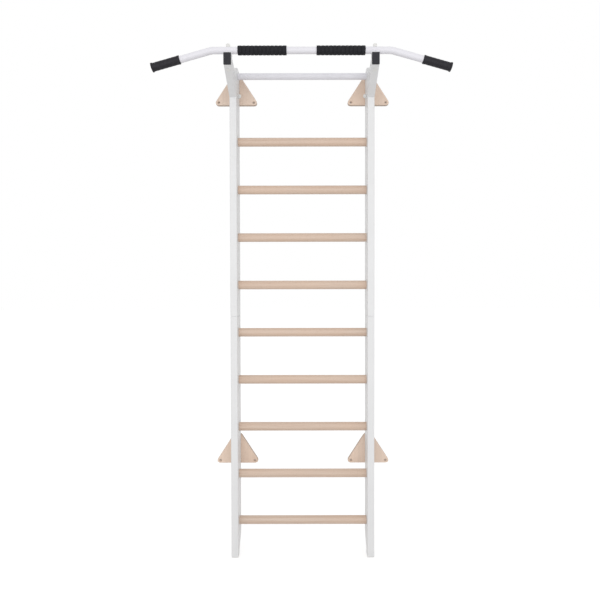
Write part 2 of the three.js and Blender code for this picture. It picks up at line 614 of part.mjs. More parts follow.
// Domed nut that stands on Y = 0, with a blind hole for the bolt's end.
function domeNut(boltDiameter) {
  const hexRadius = DOME_NUT_FLATS / Math.sqrt(3);
  const domeRadius = DOME_NUT_FLATS / 2;
  const hex = new THREE.CylinderGeometry(hexRadius, hexRadius, DOME_NUT_HEX_HEIGHT, 6);
  hex.translate(0, DOME_NUT_HEX_HEIGHT / 2, 0);
  const domeRise = DOME_NUT_HEIGHT - DOME_NUT_HEX_HEIGHT;
  const domeSteps = 4;
  const profile = [new THREE.Vector2(0, DOME_NUT_HEX_HEIGHT / 2)];
  profile.push(new THREE.Vector2(domeRadius, DOME_NUT_HEX_HEIGHT / 2));
  for (let i = 0; i <= domeSteps; i += 1) {
    const angle = ((Math.PI / 2) * i) / domeSteps;
    const x = i === domeSteps ? 0 : domeRadius * Math.cos(angle);
    profile.push(new THREE.Vector2(x, DOME_NUT_HEX_HEIGHT + domeRise * Math.sin(angle)));
  }
  const dome = new THREE.LatheGeometry(profile, BOLT_STEPS);
  const depth = DOME_NUT_HEIGHT - DOME_NUT_CROWN + FIT_GAP;
  const hole = boltHole(boltDiameter, 2 * depth, Y_AXIS, new THREE.Vector3());
  return combine(hex, { joined: [dome], cut: [hole] });
}

// Ribbed sleeve along X, centred on the origin.
const INNER_GRIP_END = UPRIGHT_X - UPRIGHT_WIDTH / 2 - INNER_GRIP_ARM_GAP;
const INNER_GRIP_LENGTH = INNER_GRIP_END - INNER_GRIP_CENTRE_GAP / 2;
function innerGrip() {
  const outer = GRIP_BORE + INNER_GRIP_WALL;
  const groove = outer - RIB_GROOVE_DEPTH;
  const end = INNER_GRIP_LENGTH / 2;
  const ribs = Math.floor(INNER_GRIP_LENGTH / RIB_PITCH);
  const firstGroove = -((ribs - 2) * RIB_PITCH) / 2;
  const profile = [new THREE.Vector2(GRIP_BORE, -end), new THREE.Vector2(outer, -end)];
  for (let i = 0; i < ribs - 1; i += 1) {
    const middle = firstGroove + i * RIB_PITCH;
    profile.push(new THREE.Vector2(outer, middle - RIB_GROOVE_WIDTH / 2));
    profile.push(new THREE.Vector2(groove, middle));
    profile.push(new THREE.Vector2(outer, middle + RIB_GROOVE_WIDTH / 2));
  }
  profile.push(new THREE.Vector2(outer, end), new THREE.Vector2(GRIP_BORE, end), profile[0].clone());
  return pointAlong(new THREE.LatheGeometry(profile, GRIP_STEPS), X_AXIS);
}

// Grip on an end of the bar: the bar ends at Y = 0 and the grip's closed end lies beyond it.
function endGrip() {
  const body = GRIP_BORE + END_GRIP_WALL;
  const collar = body + END_GRIP_COLLAR_RISE;
  const flange = body + END_GRIP_FLANGE_RISE;
  const end = FIT_GAP + END_GRIP_END;
  const start = end - END_GRIP_LENGTH;
  const collarEnd = start + END_GRIP_COLLAR_LENGTH;
  const flangeStart = end - END_GRIP_FLANGE_LENGTH;
  const softEdge = END_GRIP_COLLAR_RISE;
  const profile = [
    new THREE.Vector2(0, FIT_GAP),
    new THREE.Vector2(GRIP_BORE, FIT_GAP),
    new THREE.Vector2(GRIP_BORE, start),
    new THREE.Vector2(collar - softEdge / 2, start),
    new THREE.Vector2(collar, start + softEdge),
    new THREE.Vector2(collar, collarEnd - softEdge),
    new THREE.Vector2(body, collarEnd),
    new THREE.Vector2(body, flangeStart - END_GRIP_FLANGE_RISE),
    new THREE.Vector2(flange, flangeStart),
    new THREE.Vector2(flange, end - softEdge),
    new THREE.Vector2(flange - softEdge, end),
    new THREE.Vector2(0, end),
  ];
  return new THREE.LatheGeometry(profile, GRIP_STEPS);
}

// Assembly
const rungOutline = ellipse(RUNG_DEPTH, RUNG_HEIGHT);
RUNG_ZS.forEach((z, i) => {
  addPart(`rung_${i + 1}`, prismAlongX(rungOutline, RUNG_LENGTH, 0, ROUND_STEPS / 2), "beech", 0, RUNG_Y, z);
});

const topRungOutline = ellipse(TOP_RUNG_DIAMETER, TOP_RUNG_DIAMETER);
const topRungBore = TOP_RUNG_DIAMETER - 2 * TOP_RUNG_WALL;
topRungOutline.holes.push(ellipse(topRungBore, topRungBore));
const topRung = prismAlongX(topRungOutline, RUNG_LENGTH, 0, ROUND_STEPS / 2);
addPart("top_rung", topRung, "whiteCoat", 0, RUNG_Y, TOP_RUNG_Z);

addPart("pull_up_bar", pullUpBar(), "whiteCoat", 0, BAR_Y, BAR_Z);

const plateBoltLength = PLATE_THICKNESS - PLATE_BOLT_RECESS + FIT_GAP + UPRIGHT_WALL + PLATE_BOLT_REACH;
const armBoltLength = UPRIGHT_WIDTH + 2 * FIT_GAP + DOME_NUT_HEIGHT - DOME_NUT_CROWN;
const jointScrewLength = UPRIGHT_WALL + FIT_GAP + SLEEVE_WALL + JOINT_SCREW_REACH;
const barBoltLength = DOME_NUT_Z + DOME_NUT_HEIGHT - DOME_NUT_CROWN - BOLT_SEAT_Z + FIT_GAP;

for (const { side, sign } of SIDES) {
  const x = sign * UPRIGHT_X;
  const boltHeadX = sign * (FRAME_WIDTH / 2 + FIT_GAP);
  const inward = new THREE.Vector3(-sign, 0, 0);

  for (const section of ["lower", "upper"]) {
    addPart(`${side}_upright_${section}`, uprightSection(section, sign), "whiteCoat", x);
    const screw = pointAlong(buttonBolt(JOINT_SCREW_DIAMETER, jointScrewLength), inward);
    addPart(`${side}_joint_screw_${section}`, screw, "steel", boltHeadX, RUNG_Y, JOINT_SCREW_ZS[section]);
    const plateZ = PLATE_BASE_ZS[section];
    addPart(`${side}_wall_plate_${section}`, wallPlate(), "beech", x, 0, plateZ);
    PLATE_BOLT_RISES.forEach((rise, i) => {
      const bolt = pointAlong(capBolt(PLATE_BOLT_DIAMETER, plateBoltLength), Y_AXIS.clone().negate());
      const name = `${side}_plate_bolt_${section}_${i + 1}`;
      addPart(name, bolt, "steel", x, FIT_GAP - PLATE_BOLT_RECESS, plateZ + rise);
    });
  }
  addPart(`${side}_joint_sleeve`, jointSleeve(sign), "steel", x, RUNG_Y, SLEEVE_BOTTOM);
  addPart(`${side}_foot_cap`, footCap(), "whitePlastic", x, RUNG_Y - NOTCH_DEPTH / 2, 0);

  addPart(`${side}_arm`, arm(), "whiteCoat", x, ARM_REAR_Y, TONGUE_Z);
  const armNutX = x - sign * (UPRIGHT_WIDTH / 2 + FIT_GAP);
  const armBolt = pointAlong(buttonBolt(ARM_BOLT_DIAMETER, armBoltLength), inward);
  addPart(`${side}_arm_bolt`, armBolt, "steel", boltHeadX, ARM_BOLT_Y, TONGUE_Z);
  const armNut = pointAlong(domeNut(ARM_BOLT_DIAMETER), inward);
  addPart(`${side}_arm_nut`, armNut, "whitePlastic", armNutX, ARM_BOLT_Y, TONGUE_Z);
  const capZ = ARM_ROOT_Z + ARM_TIP_MIDDLE;
  addPart(`${side}_arm_end_cap`, armEndCap(), "blackPlastic", x, ARM_FRONT_Y - FIT_GAP, capZ);

  const plugZ = ARM_ROOT_Z + (ARM_REAR_Y - BAR_Y) * ARM_RISE - FIT_GAP;
  addPart(`${side}_arm_plug`, armPlug(), "whitePlastic", x, BAR_Y, plugZ);

  addPart(`${side}_bar_saddle`, barSaddle(), "whiteCoat", x, BAR_Y, BAR_Z);
  const barBolt = pointAlong(capBolt(BAR_BOLT_DIAMETER, barBoltLength), Z_AXIS);
  addPart(`${side}_bar_bolt`, barBolt, "steel", x, BAR_Y, BOLT_SEAT_Z - FIT_GAP);
  const barNut = pointAlong(domeNut(BAR_BOLT_DIAMETER), Z_AXIS);
  addPart(`${side}_bar_nut`, barNut, "whitePlastic", x, BAR_Y, DOME_NUT_Z);

  const gripX = sign * (INNER_GRIP_END - INNER_GRIP_LENGTH / 2);
  addPart(`${side}_inner_grip`, innerGrip(), "blackRubber", gripX, BAR_Y, BAR_Z);
  const tip = barSection(sign, BAR_BEND_ANGLE, BAR_DROOP_LENGTH);
  const outward = tip.tangent.clone().multiplyScalar(sign);
  const grip = pointAlong(endGrip(), outward);
  addPart(`${side}_end_grip`, grip, "blackRubber", tip.point.x, BAR_Y, BAR_Z + tip.point.z);
}

export default wallBars;
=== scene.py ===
"""Swedish wall bars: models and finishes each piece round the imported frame, in metres."""

import contextlib
import itertools
import math

import bmesh
import bpy
from bpy.props import FloatProperty, FloatVectorProperty, PointerProperty
from mathutils import Euler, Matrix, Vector


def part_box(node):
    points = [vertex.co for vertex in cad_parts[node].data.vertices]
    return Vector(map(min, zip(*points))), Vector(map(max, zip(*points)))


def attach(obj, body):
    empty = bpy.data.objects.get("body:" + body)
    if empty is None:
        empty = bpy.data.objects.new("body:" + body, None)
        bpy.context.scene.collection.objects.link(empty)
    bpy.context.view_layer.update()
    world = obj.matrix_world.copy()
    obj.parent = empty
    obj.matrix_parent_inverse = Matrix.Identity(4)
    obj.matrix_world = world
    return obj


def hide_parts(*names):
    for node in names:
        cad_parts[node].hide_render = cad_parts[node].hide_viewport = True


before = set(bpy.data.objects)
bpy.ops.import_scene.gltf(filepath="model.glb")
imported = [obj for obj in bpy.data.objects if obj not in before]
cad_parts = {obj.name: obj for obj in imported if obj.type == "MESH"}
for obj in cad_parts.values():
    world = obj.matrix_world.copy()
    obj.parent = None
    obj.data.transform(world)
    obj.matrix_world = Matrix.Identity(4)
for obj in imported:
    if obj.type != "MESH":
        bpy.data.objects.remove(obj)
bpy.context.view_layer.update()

bl_info = {
    "name": "Swedish Wall Bars",
    "version": (1, 0, 0),
    "blender": (4, 5, 0),
    "location": "View3D > Sidebar > Wall Bars",
    "description": "Models the wall bars' rungs, uprights, wall plates, arms, bar and grips round their frame",
    "category": "Add Mesh",
}

BODY = "root"
ROUND_SIDES = 48
CAP_HEAD = 1.625
BOLT_SIDES = 28
SMOOTH_ANGLE = math.radians(38)
NEAR = 1e-5
TURN_TO = {"X": (0, math.pi / 2, 0), "-X": (0, -math.pi / 2, 0), "Y": (-math.pi / 2, 0, 0), "Z": (0, 0, 0)}
SECTIONS = ("lower", "upper")
SIDES = {"left": -1, "right": 1}


def length(name, description, default):
    """A size in metres that a user may change."""
    return FloatProperty(name=name, description=description, default=default, min=0, unit="LENGTH", precision=4)


def angle(name, description, degrees):
    return FloatProperty(name=name, description=description, default=math.radians(degrees), subtype="ANGLE")


def colour(name, description, default):
    return FloatVectorProperty(
        name=name, description=description, default=default, size=3, min=0, max=1, subtype="COLOR"
    )


def middle(node):
    low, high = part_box(node)
    return (low + high) / 2


def extent(node):
    low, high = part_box(node)
    return high - low


def numbered(prefix):
    """The CAD nodes whose names are the prefix and a number, in order."""
    found = [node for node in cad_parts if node.startswith(prefix) and node[len(prefix):].isdigit()]
    return sorted(found, key=lambda node: int(node[len(prefix):]))


class WallBarsSizes(bpy.types.PropertyGroup):
    """Sizes that the frame's boxes don't give"""

    fit_gap: length("Fit gap", "Gap left between pieces that touch", 0.0003)
    upright_wall: length("Upright wall", "Sheet thickness of the uprights", 0.002)
    upright_edge: length("Upright edge", "Radius of the uprights' long edges", 0.003)
    upright_crown: length("Upright crown", "Radius of the upper front corner of the uprights", 0.060)
    seam_edge: length("Seam edge", "Rounding on either side of the uprights' seam", 0.0017)
    notch_height: length("Notch height", "Top of the cut-out behind the feet", 0.075)
    notch_slope: angle("Notch slope", "Slope of the cut-out behind the feet", 40)
    socket_gap: length("Socket gap", "Gap round a rung in its socket", 0.0006)
    rung_end: length("Rung end", "Rounding of the rungs' ends", 0.002)
    tube_wall: length("Tube wall", "Sheet thickness of the bar and the top rung", 0.0025)
    plate_base: length("Plate base", "Width of a wall plate between its sharp corners", 0.221)
    plate_apex: angle("Plate apex", "Angle at the top of a wall plate", 66)
    plate_base_radius: length("Plate base radius", "Radius of the lower corners of a wall plate", 0.015)
    plate_apex_radius: length("Plate apex radius", "Radius of the top corner of a wall plate", 0.030)
    plate_edge: length("Plate edge", "Rounding of a wall plate's edges", 0.002)
    wall_hole: length("Wall hole", "Diameter of a wall plate's screw holes", 0.007)
    wall_hole_sink: length("Wall hole sink", "Diameter of the screw holes' countersinks", 0.014)
    wall_hole_inset: length("Wall hole inset", "From a sharp corner to its screw hole", 0.0265)
    wall_hole_rise: length("Wall hole rise", "From the base edge to a screw hole", 0.013)
    arm_root: length("Arm root", "Height of an arm's rear end", 0.090)
    arm_slope: angle("Arm slope", "Rise of the arms' lower sides", 24.8)
    arm_edge: length("Arm edge", "Radius of the arms' long edges", 0.002)
    arm_wall: length("Arm wall", "Sheet thickness of the arms", 0.0025)
    tongue_height: length("Tongue height", "Height of the block behind an arm", 0.040)
    cap_depth: length("Cap depth", "Thickness of an arm's end cap", 0.005)
    cap_overhang: length("Cap overhang", "Edge of an end cap beyond its arm", 0.0006)
    cap_edge: length("Cap edge", "Rounding of an end cap's front edge", 0.0015)
    plug_rim: length("Plug rim", "Thickness of the plugs under the arms", 0.001)
    plug_stem: length("Plug stem", "Radius of the plugs' stems", 0.0055)
    bend_beyond: length("Bend beyond arm", "From an arm's outer side to the bend of the bar", 0.042)
    bend_radius: length("Bend radius", "Radius of the bar's bends", 0.100)
    bend_angle: angle("Bend angle", "Angle of the bar's bends", 15.8)
    droop: length("Droop", "Straight end of the bar beyond a bend", 0.254)
    rib_pitch: length("Rib pitch", "Distance between the ribs of an inner grip", 0.0175)
    rib_depth: length("Rib depth", "Depth of the grooves between the ribs", 0.0019)
    grip_bore: length("Grip bore", "Radius of the grips' bores", 0.0153)
    collar_length: length("Collar length", "Length of an end grip's collar", 0.009)
    end_grip_length: length("End grip length", "Length of the grips on the bar's ends", 0.130)
    grip_end: length("Grip end", "Thickness of an end grip beyond the bar", 0.005)
    soft_edge: length("Soft edge", "Rounding of an end grip's steps", 0.0008)
    flange_rise: length("Flange rise", "Height of an end grip's flange over its body", 0.0018)
    flange_length: length("Flange length", "Length of an end grip's flange", 0.010)
    finger_pitch: length("Finger pitch", "Distance between the soft rings of an end grip", 0.0165)
    finger_depth: length("Finger depth", "Depth between the soft rings of an end grip", 0.0005)
    foot_plate: length("Foot plate", "Thickness of the foot caps' plates", 0.004)
    foot_edge: length("Foot edge", "Rounding of the foot caps' lower edges", 0.0012)
    arm_bolt: length("Arm bolt", "Diameter of the bolts through the arms' tongues", 0.010)
    joint_screw: length("Joint screw", "Diameter of the screws beside the seams", 0.006)
    rung_bolt: length("Rung bolt", "Diameter of the bolts in the rungs' ends", 0.008)


class WallBarsColours(bpy.types.PropertyGroup):
    """Colours of the finishes, as linear light"""

    coat: colour("Coat", "White powder coat", (0.77, 0.77, 0.774))
    tube: colour("Tube coat", "Cooler white coat of the bar and the top rung", (0.795, 0.785, 0.83))
    plastic: colour("Plastic", "White moulded plastic", (0.78, 0.775, 0.755))
    beech_pale: colour("Beech, pale", "Early wood of the rungs", (0.67, 0.545, 0.450))
    beech_dark: colour("Beech, dark", "Late wood of the rungs", (0.56, 0.405, 0.310))
    beech_warm: colour("Beech, warm", "Ruddy stretches of the rungs", (0.665, 0.485, 0.37))
    beech_fleck: colour("Beech, fleck", "Rays and pores in the wood", (0.36, 0.235, 0.165))
    ply_pale: colour("Ply, pale", "Face veneer of the wall plates", (0.795, 0.635, 0.522))
    ply_warm: colour("Ply, warm", "Ruddy stretches of the plates' faces", (0.80, 0.605, 0.475))
    ply_dark: colour("Ply, dark", "Cross plies at the plates' edges", (0.40, 0.285, 0.205))
    rubber: colour("Rubber", "Black ribbed grips", (0.0084, 0.0083, 0.0112))
    # Lighter than the ribbed grips' rubber: painted sheen of the tilted end grips.
    end_rubber_painted_sheen: colour("End rubber", "Black grips on the bar's ends", (0.0145, 0.0135, 0.0172))
    cap: colour("Cap", "Black end caps of the arms", (0.0115, 0.0115, 0.016))
    zinc: colour("Zinc", "Plated bolts", (0.62, 0.63, 0.65))
    floor: colour("Floor", "Studio floor", (0.75, 0.75, 0.75))


def sizes():
    return bpy.context.scene.wall_bars_sizes


def colours():
    return bpy.context.scene.wall_bars_colours


# Modelling by hand: selection, editing and modifiers
def activate(piece):
    """Makes a piece the only selected object."""
    if bpy.context.mode != "OBJECT":
        bpy.ops.object.mode_set(mode="OBJECT")
    bpy.ops.object.select_all(action="DESELECT")
    piece.select_set(True)
    bpy.context.view_layer.objects.active = piece


def settle(piece, turn=(0, 0, 0), place=(0, 0, 0)):
    """Turns and moves a piece, and keeps both in its mesh."""
    activate(piece)
    piece.rotation_euler.rotate(Euler(turn))
    piece.location += Vector(place)
    bpy.ops.object.transform_apply(location=True, rotation=True, scale=True)
    return piece


@contextlib.contextmanager
def editing(piece):
    activate(piece)
    bpy.ops.object.mode_set(mode="EDIT")
    bpy.ops.mesh.select_all(action="DESELECT")
    yield
    bpy.ops.object.mode_set(mode="OBJECT")


def pick(piece, kind, test):
    """Selects the vertices, edges or faces that pass a test, in edit mode."""
    bpy.ops.mesh.select_mode(type=kind)
    bpy.ops.mesh.select_all(action="DESELECT")
    shape = bmesh.from_edit_mesh(piece.data)
    shape.normal_update()
    elements = {"VERT": shape.verts, "EDGE": shape.edges, "FACE": shape.faces}[kind]
    for element in elements:
        if test(element):
            element.select_set(True)
    shape.select_flush_mode()
    bmesh.update_edit_mesh(piece.data)


def both(edge, test):
    """True if both ends of an edge pass the test."""
    return all(test(corner.co) for corner in edge.verts)


def runs_along(edge, axis):
    """True if an edge runs along an axis, 0 to 2."""
    line = (edge.verts[1].co - edge.verts[0].co).normalized()
    return abs(line[axis]) > 0.999


def is_near(a, b):
    return abs(a - b) < NEAR


def move(x=0, y=0, z=0):
    bpy.ops.transform.translate(value=(x, y, z))


def extrude(x=0, y=0, z=0):
    bpy.ops.mesh.extrude_region_move(TRANSFORM_OT_translate={"value": (x, y, z)})


def round_edges(radius, steps, **settings):
    bpy.ops.mesh.bevel(offset=radius, offset_type="OFFSET", segments=steps, profile=0.5, affect="EDGES", **settings)


def face_outwards(piece):
    with editing(piece):
        bpy.ops.mesh.select_all(action="SELECT")
        bpy.ops.mesh.remove_doubles(threshold=NEAR)
        bpy.ops.mesh.normals_make_consistent(inside=False)


def modify(piece, kind, **settings):
    """Adds a modifier and applies it."""
    activate(piece)
    modifier = piece.modifiers.new(kind.title(), kind)
    for name, value in settings.items():
        setattr(modifier, name, value)
    bpy.ops.object.modifier_apply(modifier=modifier.name)


def cut_away(piece, *cutters):
    for cutter in cutters:
        modify(piece, "BOOLEAN", operation="DIFFERENCE", object=cutter, solver="EXACT")
        bpy.data.objects.remove(cutter)


def join_on(piece, *others):
    for other in others:
        modify(piece, "BOOLEAN", operation="UNION", object=other, solver="EXACT")
        bpy.data.objects.remove(other)


def block(low, high):
    """Box between two corners, to be shaped further."""
    low, high = Vector(low), Vector(high)
    bpy.ops.mesh.primitive_cube_add(size=1, location=(low + high) / 2, scale=high - low)
    return settle(bpy.context.object)


def rod(centre, axis, diameter, span, sides=ROUND_SIDES):
    """Round bar about a point, as a cutter or to join on."""
    bpy.ops.mesh.primitive_cylinder_add(vertices=sides, radius=diameter / 2, depth=span, location=centre)
    bpy.context.object.rotation_euler = TURN_TO[axis]
    return settle(bpy.context.object)


def oval_rod(low, high):
    """Bar along X that fills a box with its oval section."""
    low, high = Vector(low), Vector(high)
    centre, size = (low + high) / 2, high - low
    piece = rod(centre, "X", 1, size.x)
    with editing(piece):
        bpy.ops.mesh.select_all(action="SELECT")
        bpy.ops.transform.resize(value=(1, size.y, size.z), center_override=centre)
    return piece


def turned(rings, sides=ROUND_SIDES, hollow=False):
    """Body of revolution about Z through rings of height and radius; a hollow one closes on its first ring."""
    height, radius = rings[0]
    fill = "NOTHING" if hollow else "NGON"
    bpy.ops.mesh.primitive_circle_add(vertices=sides, radius=radius, fill_type=fill, location=(0, 0, height))
    piece = settle(bpy.context.object)
    with editing(piece):
        bpy.ops.mesh.select_all(action="SELECT")
        for (height, radius), (next_height, next_radius) in itertools.pairwise(rings):
            extrude(z=next_height - height)
            share = next_radius / radius
            bpy.ops.transform.resize(value=(share, share, 1), center_override=(0, 0, next_height))
    face_outwards(piece)
    return piece


def copied(piece, offset=(0, 0, 0)):
    """Copy with its own mesh, moved by an offset."""
    copy = piece.copy()
    copy.data = piece.data.copy()
    bpy.context.scene.collection.objects.link(copy)
    return settle(copy, place=offset)


def mirrored(piece):
    """Mirror image across X = 0, with its own mesh."""
    copy = copied(piece)
    copy.scale.x = -1
    settle(copy)
    shape = bmesh.new()
    shape.from_mesh(copy.data)
    if shape.calc_volume(signed=True) < 0:
        bmesh.ops.reverse_faces(shape, faces=shape.faces)
        shape.to_mesh(copy.data)
    shape.free()
    return copy


def finish_piece(piece, name, material, slot, *nodes):
    """Shades a piece, gives it its finish and sets it on the frame in place of the nodes it stands for."""
    if not piece.data.polygons:
        raise RuntimeError(f"{name} has lost its faces")
    activate(piece)
    piece.name = name
    piece.data.name = name
    bpy.ops.object.shade_smooth_by_angle(angle=SMOOTH_ANGLE)
    modify(piece, "WEIGHTED_NORMAL", keep_sharp=True, weight=60)
    piece.data.materials.clear()
    piece.data.materials.append(material)
    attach(piece, BODY)
    if nodes:
        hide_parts(*nodes)


def finish_pair(piece, name, material, slot, *nodes):
    """Finishes a piece of the left side and its mirror image on the right."""
    for side, each in (("left", piece), ("right", mirrored(piece))):
        finish_piece(each, f"{side}_{name}", material, slot, *[f"{side}_{node}" for node in nodes])


# Finishes
class Finish:
    """Node tree of one material, built round a Principled shader."""

    def __init__(self, name):
        self.material = bpy.data.materials.new(name)
        self.material.use_nodes = True
        self.tree = self.material.node_tree
        self.shader = self.tree.nodes["Principled BSDF"]
        self.place = self.add("ShaderNodeTexCoord").outputs["Object"]

    def add(self, kind, **settings):
        node = self.tree.nodes.new(kind)
        for name, value in settings.items():
            setattr(node, name, value)
        return node

    def link(self, source, target):
        self.tree.links.new(source, target)

    def set(self, **values):
        """Sets sockets of the shader that are the same all over the surface."""
        for name, value in values.items():
            self.shader.inputs[name.replace("_", " ")].default_value = value

    def stretched(self, scale):
        """Object coordinates scaled by axis."""
        mapping = self.add("ShaderNodeMapping")
        mapping.inputs["Scale"].default_value = scale
        self.link(self.place, mapping.inputs["Vector"])
        return mapping.outputs["Vector"]

    def noise(self, scale, detail=2.0, roughness=0.5, vector=None, distortion=0.0):
        node = self.add("ShaderNodeTexNoise")
        node.inputs["Scale"].default_value = scale
        node.inputs["Detail"].default_value = detail
        node.inputs["Roughness"].default_value = roughness
        node.inputs["Distortion"].default_value = distortion
        self.link(vector or self.place, node.inputs["Vector"])
        return node.outputs["Fac"]

    def spread(self, value, low, high, to_low=0.0, to_high=1.0):
        """Maps a range of a value to another, clamped."""
        node = self.add("ShaderNodeMapRange")
        for name, number in zip(("From Min", "From Max", "To Min", "To Max"), (low, high, to_low, to_high)):
            node.inputs[name].default_value = number
        self.link(value, node.inputs["Value"])
        return node.outputs["Result"]

    def math(self, operation, a, b):
        node = self.add("ShaderNodeMath", operation=operation)
        for socket, value in zip(node.inputs, (a, b)):
            if isinstance(value, (int, float)):
                socket.default_value = value
            else:
                self.link(value, socket)
        return node.outputs["Value"]

    def blend(self, factor, a, b):
        """Mixes two colours by a factor."""
        node = self.add("ShaderNodeMix", data_type="RGBA")
        self.link(factor, node.inputs["Factor"])
        for socket, value in zip([s for s in node.inputs if s.type == "RGBA"], (a, b)):
            if hasattr(value, "is_linked"):
                self.link(value, socket)
            else:
                socket.default_value = (*value, 1)
        return next(s for s in node.outputs if s.type == "RGBA")

    def bump(self, height, strength, distance):
        node = self.add("ShaderNodeBump")
        node.inputs["Strength"].default_value = strength
        node.inputs["Distance"].default_value = distance
        self.link(height, node.inputs["Height"])
        self.link(node.outputs["Normal"], self.shader.inputs["Normal"])

    def colour_from(self, socket):
        self.link(socket, self.shader.inputs["Base Color"])

    def roughness_from(self, socket):
        self.link(socket, self.shader.inputs["Roughness"])


def shade(tint, factor):
    return tuple(channel * factor for channel in tint)


def powder_coat(name, tint):
    """Powder coat: fine orange peel and a faint unevenness."""
    finish = Finish(name)
    cloud = finish.spread(finish.noise(9, 3), 0.3, 0.7)
    finish.colour_from(finish.blend(cloud, shade(tint, 0.975), tint))
    finish.roughness_from(finish.spread(finish.noise(60, 2), 0.3, 0.7, 0.36, 0.46))
    finish.bump(finish.noise(520, 2, 0.4), 0.12, 0.0004)
    return finish.material


def frame_coat():
    return powder_coat("white_frame_coat", colours().coat)


def tube_coat():
    return powder_coat("white_tube_coat", colours().tube)


def white_plastic():
    """Moulded white plastic with a fine spark-eroded grain."""
    finish = Finish("white_moulded_plastic")
    tint = colours().plastic
    cloud = finish.spread(finish.noise(40, 3), 0.3, 0.7)
    finish.colour_from(finish.blend(cloud, shade(tint, 0.96), tint))
    finish.roughness_from(finish.spread(finish.noise(200, 2), 0.3, 0.7, 0.42, 0.55))
    finish.bump(finish.noise(1400, 2), 0.15, 0.0002)
    return finish.material


def wood_grain(finish, pale, dark, warm, along):
    """Colour and height of beech whose grain runs along an axis, 0 to 2."""
    def along_grain(length_scale, cross_scale):
        scale = [cross_scale] * 3
        scale[along] = length_scale
        return finish.stretched(scale)

    bands = finish.noise(1, 3, 0.55, along_grain(1.6, 95), 0.6)
    fibres = finish.noise(1, 4, 0.65, along_grain(9, 700))
    broad = finish.noise(1, 2, 0.5, along_grain(1.1, 7))
    rays = finish.noise(1, 1, 0.5, along_grain(120, 1100))
    tone = finish.math("ADD", finish.math("MULTIPLY", bands, 0.55), finish.math("MULTIPLY", fibres, 0.45))
    wood = finish.blend(finish.spread(tone, 0.36, 0.64), dark, pale)
    wood = finish.blend(finish.spread(broad, 0.35, 0.65, 0, 0.35), wood, shade(dark, 1.18))
    stretches = finish.noise(1, 2, 0.5, along_grain(2.6, 4.5), 0.4)
    wood = finish.blend(finish.spread(stretches, 0.42, 0.66, 0, 0.55), wood, warm)
    marks = finish.spread(rays, 0.64, 0.74, 0, 0.5)
    return finish.blend(marks, wood, colours().beech_fleck), finish.math("SUBTRACT", fibres, marks)


def beech():
    """Lacquered beech with its grain along the rung."""
    finish = Finish("lacquered_beech")
    tint = colours()
    wood, height = wood_grain(finish, tint.beech_pale, tint.beech_dark, tint.beech_warm, 0)
    finish.colour_from(wood)
    finish.roughness_from(finish.spread(height, 0.2, 0.8, 0.5, 0.4))
    finish.bump(height, 0.18, 0.0004)
    finish.set(Coat_Weight=0.12, Coat_Roughness=0.3)
    return finish.material


def plywood():
    """Birch-faced plywood: upright grain on the faces, stacked plies on the edges."""
    finish = Finish("lacquered_plywood")
    tint = colours()
    face, height = wood_grain(finish, tint.ply_pale, shade(tint.ply_pale, 0.86), tint.ply_warm, 2)
    across = finish.add("ShaderNodeSeparateXYZ")
    finish.link(finish.place, across.inputs["Vector"])
    plies = extent("left_wall_plate_upper").y / 7
    ply = finish.math("FRACT", finish.math("DIVIDE", across.outputs["Y"], 2 * plies), 0)
    layer = finish.spread(finish.math("ABSOLUTE", finish.math("SUBTRACT", ply, 0.5), 0), 0.2, 0.3)
    grain = finish.noise(380, 3, 0.6)
    edge = finish.blend(layer, tint.ply_dark, shade(tint.ply_pale, 0.82))
    edge = finish.blend(finish.spread(grain, 0.45, 0.75, 0, 0.5), edge, shade(tint.ply_dark, 0.8))
    normal = finish.add("ShaderNodeSeparateXYZ")
    facing = finish.add("ShaderNodeTexCoord").outputs["Normal"]
    finish.link(facing, normal.inputs["Vector"])
    is_face = finish.spread(finish.math("ABSOLUTE", normal.outputs["Y"], 0), 0.6, 0.8)
    finish.colour_from(finish.blend(is_face, edge, face))
    finish.roughness_from(finish.spread(height, 0.2, 0.8, 0.55, 0.42))
    finish.bump(height, 0.15, 0.0004)
    return finish.material


def rubber(name, tint, smoothest, roughest):
    """Matt black rubber with a fine stipple and a little dust."""
    finish = Finish(name)
    dust = finish.spread(finish.noise(70, 4), 0.4, 0.75)
    finish.colour_from(finish.blend(dust, tint, shade(tint, 1.6)))
    finish.roughness_from(finish.spread(finish.noise(240, 3), 0.3, 0.7, smoothest, roughest))
    finish.set(Specular_IOR_Level=0.22)
    finish.bump(finish.noise(1100, 2), 0.4, 0.0004)
    return finish.material


def ribbed_rubber():
    return rubber("ribbed_rubber", colours().rubber, 0.55, 0.72)


# End-grip rubber: its lighter base colour is painted sheen, and its lower roughness is the real smoother rubber.
def smooth_rubber_painted_sheen():
    return rubber("smooth_rubber_painted_sheen", colours().end_rubber_painted_sheen, 0.42, 0.58)


def cap_plastic():
    """Black moulded plastic with a fine grain."""
    finish = Finish("black_cap_plastic")
    tint = colours().cap
    cloud = finish.spread(finish.noise(90, 3), 0.35, 0.7)
    finish.colour_from(finish.blend(cloud, tint, shade(tint, 1.25)))
    finish.roughness_from(finish.spread(finish.noise(300, 2), 0.3, 0.7, 0.38, 0.52))
    finish.set(Specular_IOR_Level=0.3)
    finish.bump(finish.noise(1300, 2), 0.3, 0.0003)
    return finish.material


def zinc_plate():
    """Bright zinc plating with fine turning marks and dull patches."""
    finish = Finish("zinc_plated_steel")
    tint = colours().zinc
    patches = finish.spread(finish.noise(220, 4), 0.35, 0.7)
    finish.colour_from(finish.blend(patches, shade(tint, 0.82), tint))
    finish.roughness_from(finish.spread(finish.noise(420, 3), 0.3, 0.7, 0.24, 0.4))
    finish.set(Metallic=1.0)
    finish.bump(finish.noise(1800, 2), 0.1, 0.0002)
    return finish.material


MATERIALS = {}


def material(maker):
    if maker not in MATERIALS:
        MATERIALS[maker] = maker()
    return MATERIALS[maker]


# Bolts and nuts, made along Z and then turned to their place
def hex_socket(diameter, top, depth):
    return rod((0, 0, top), "Z", diameter, 2 * depth, 6)


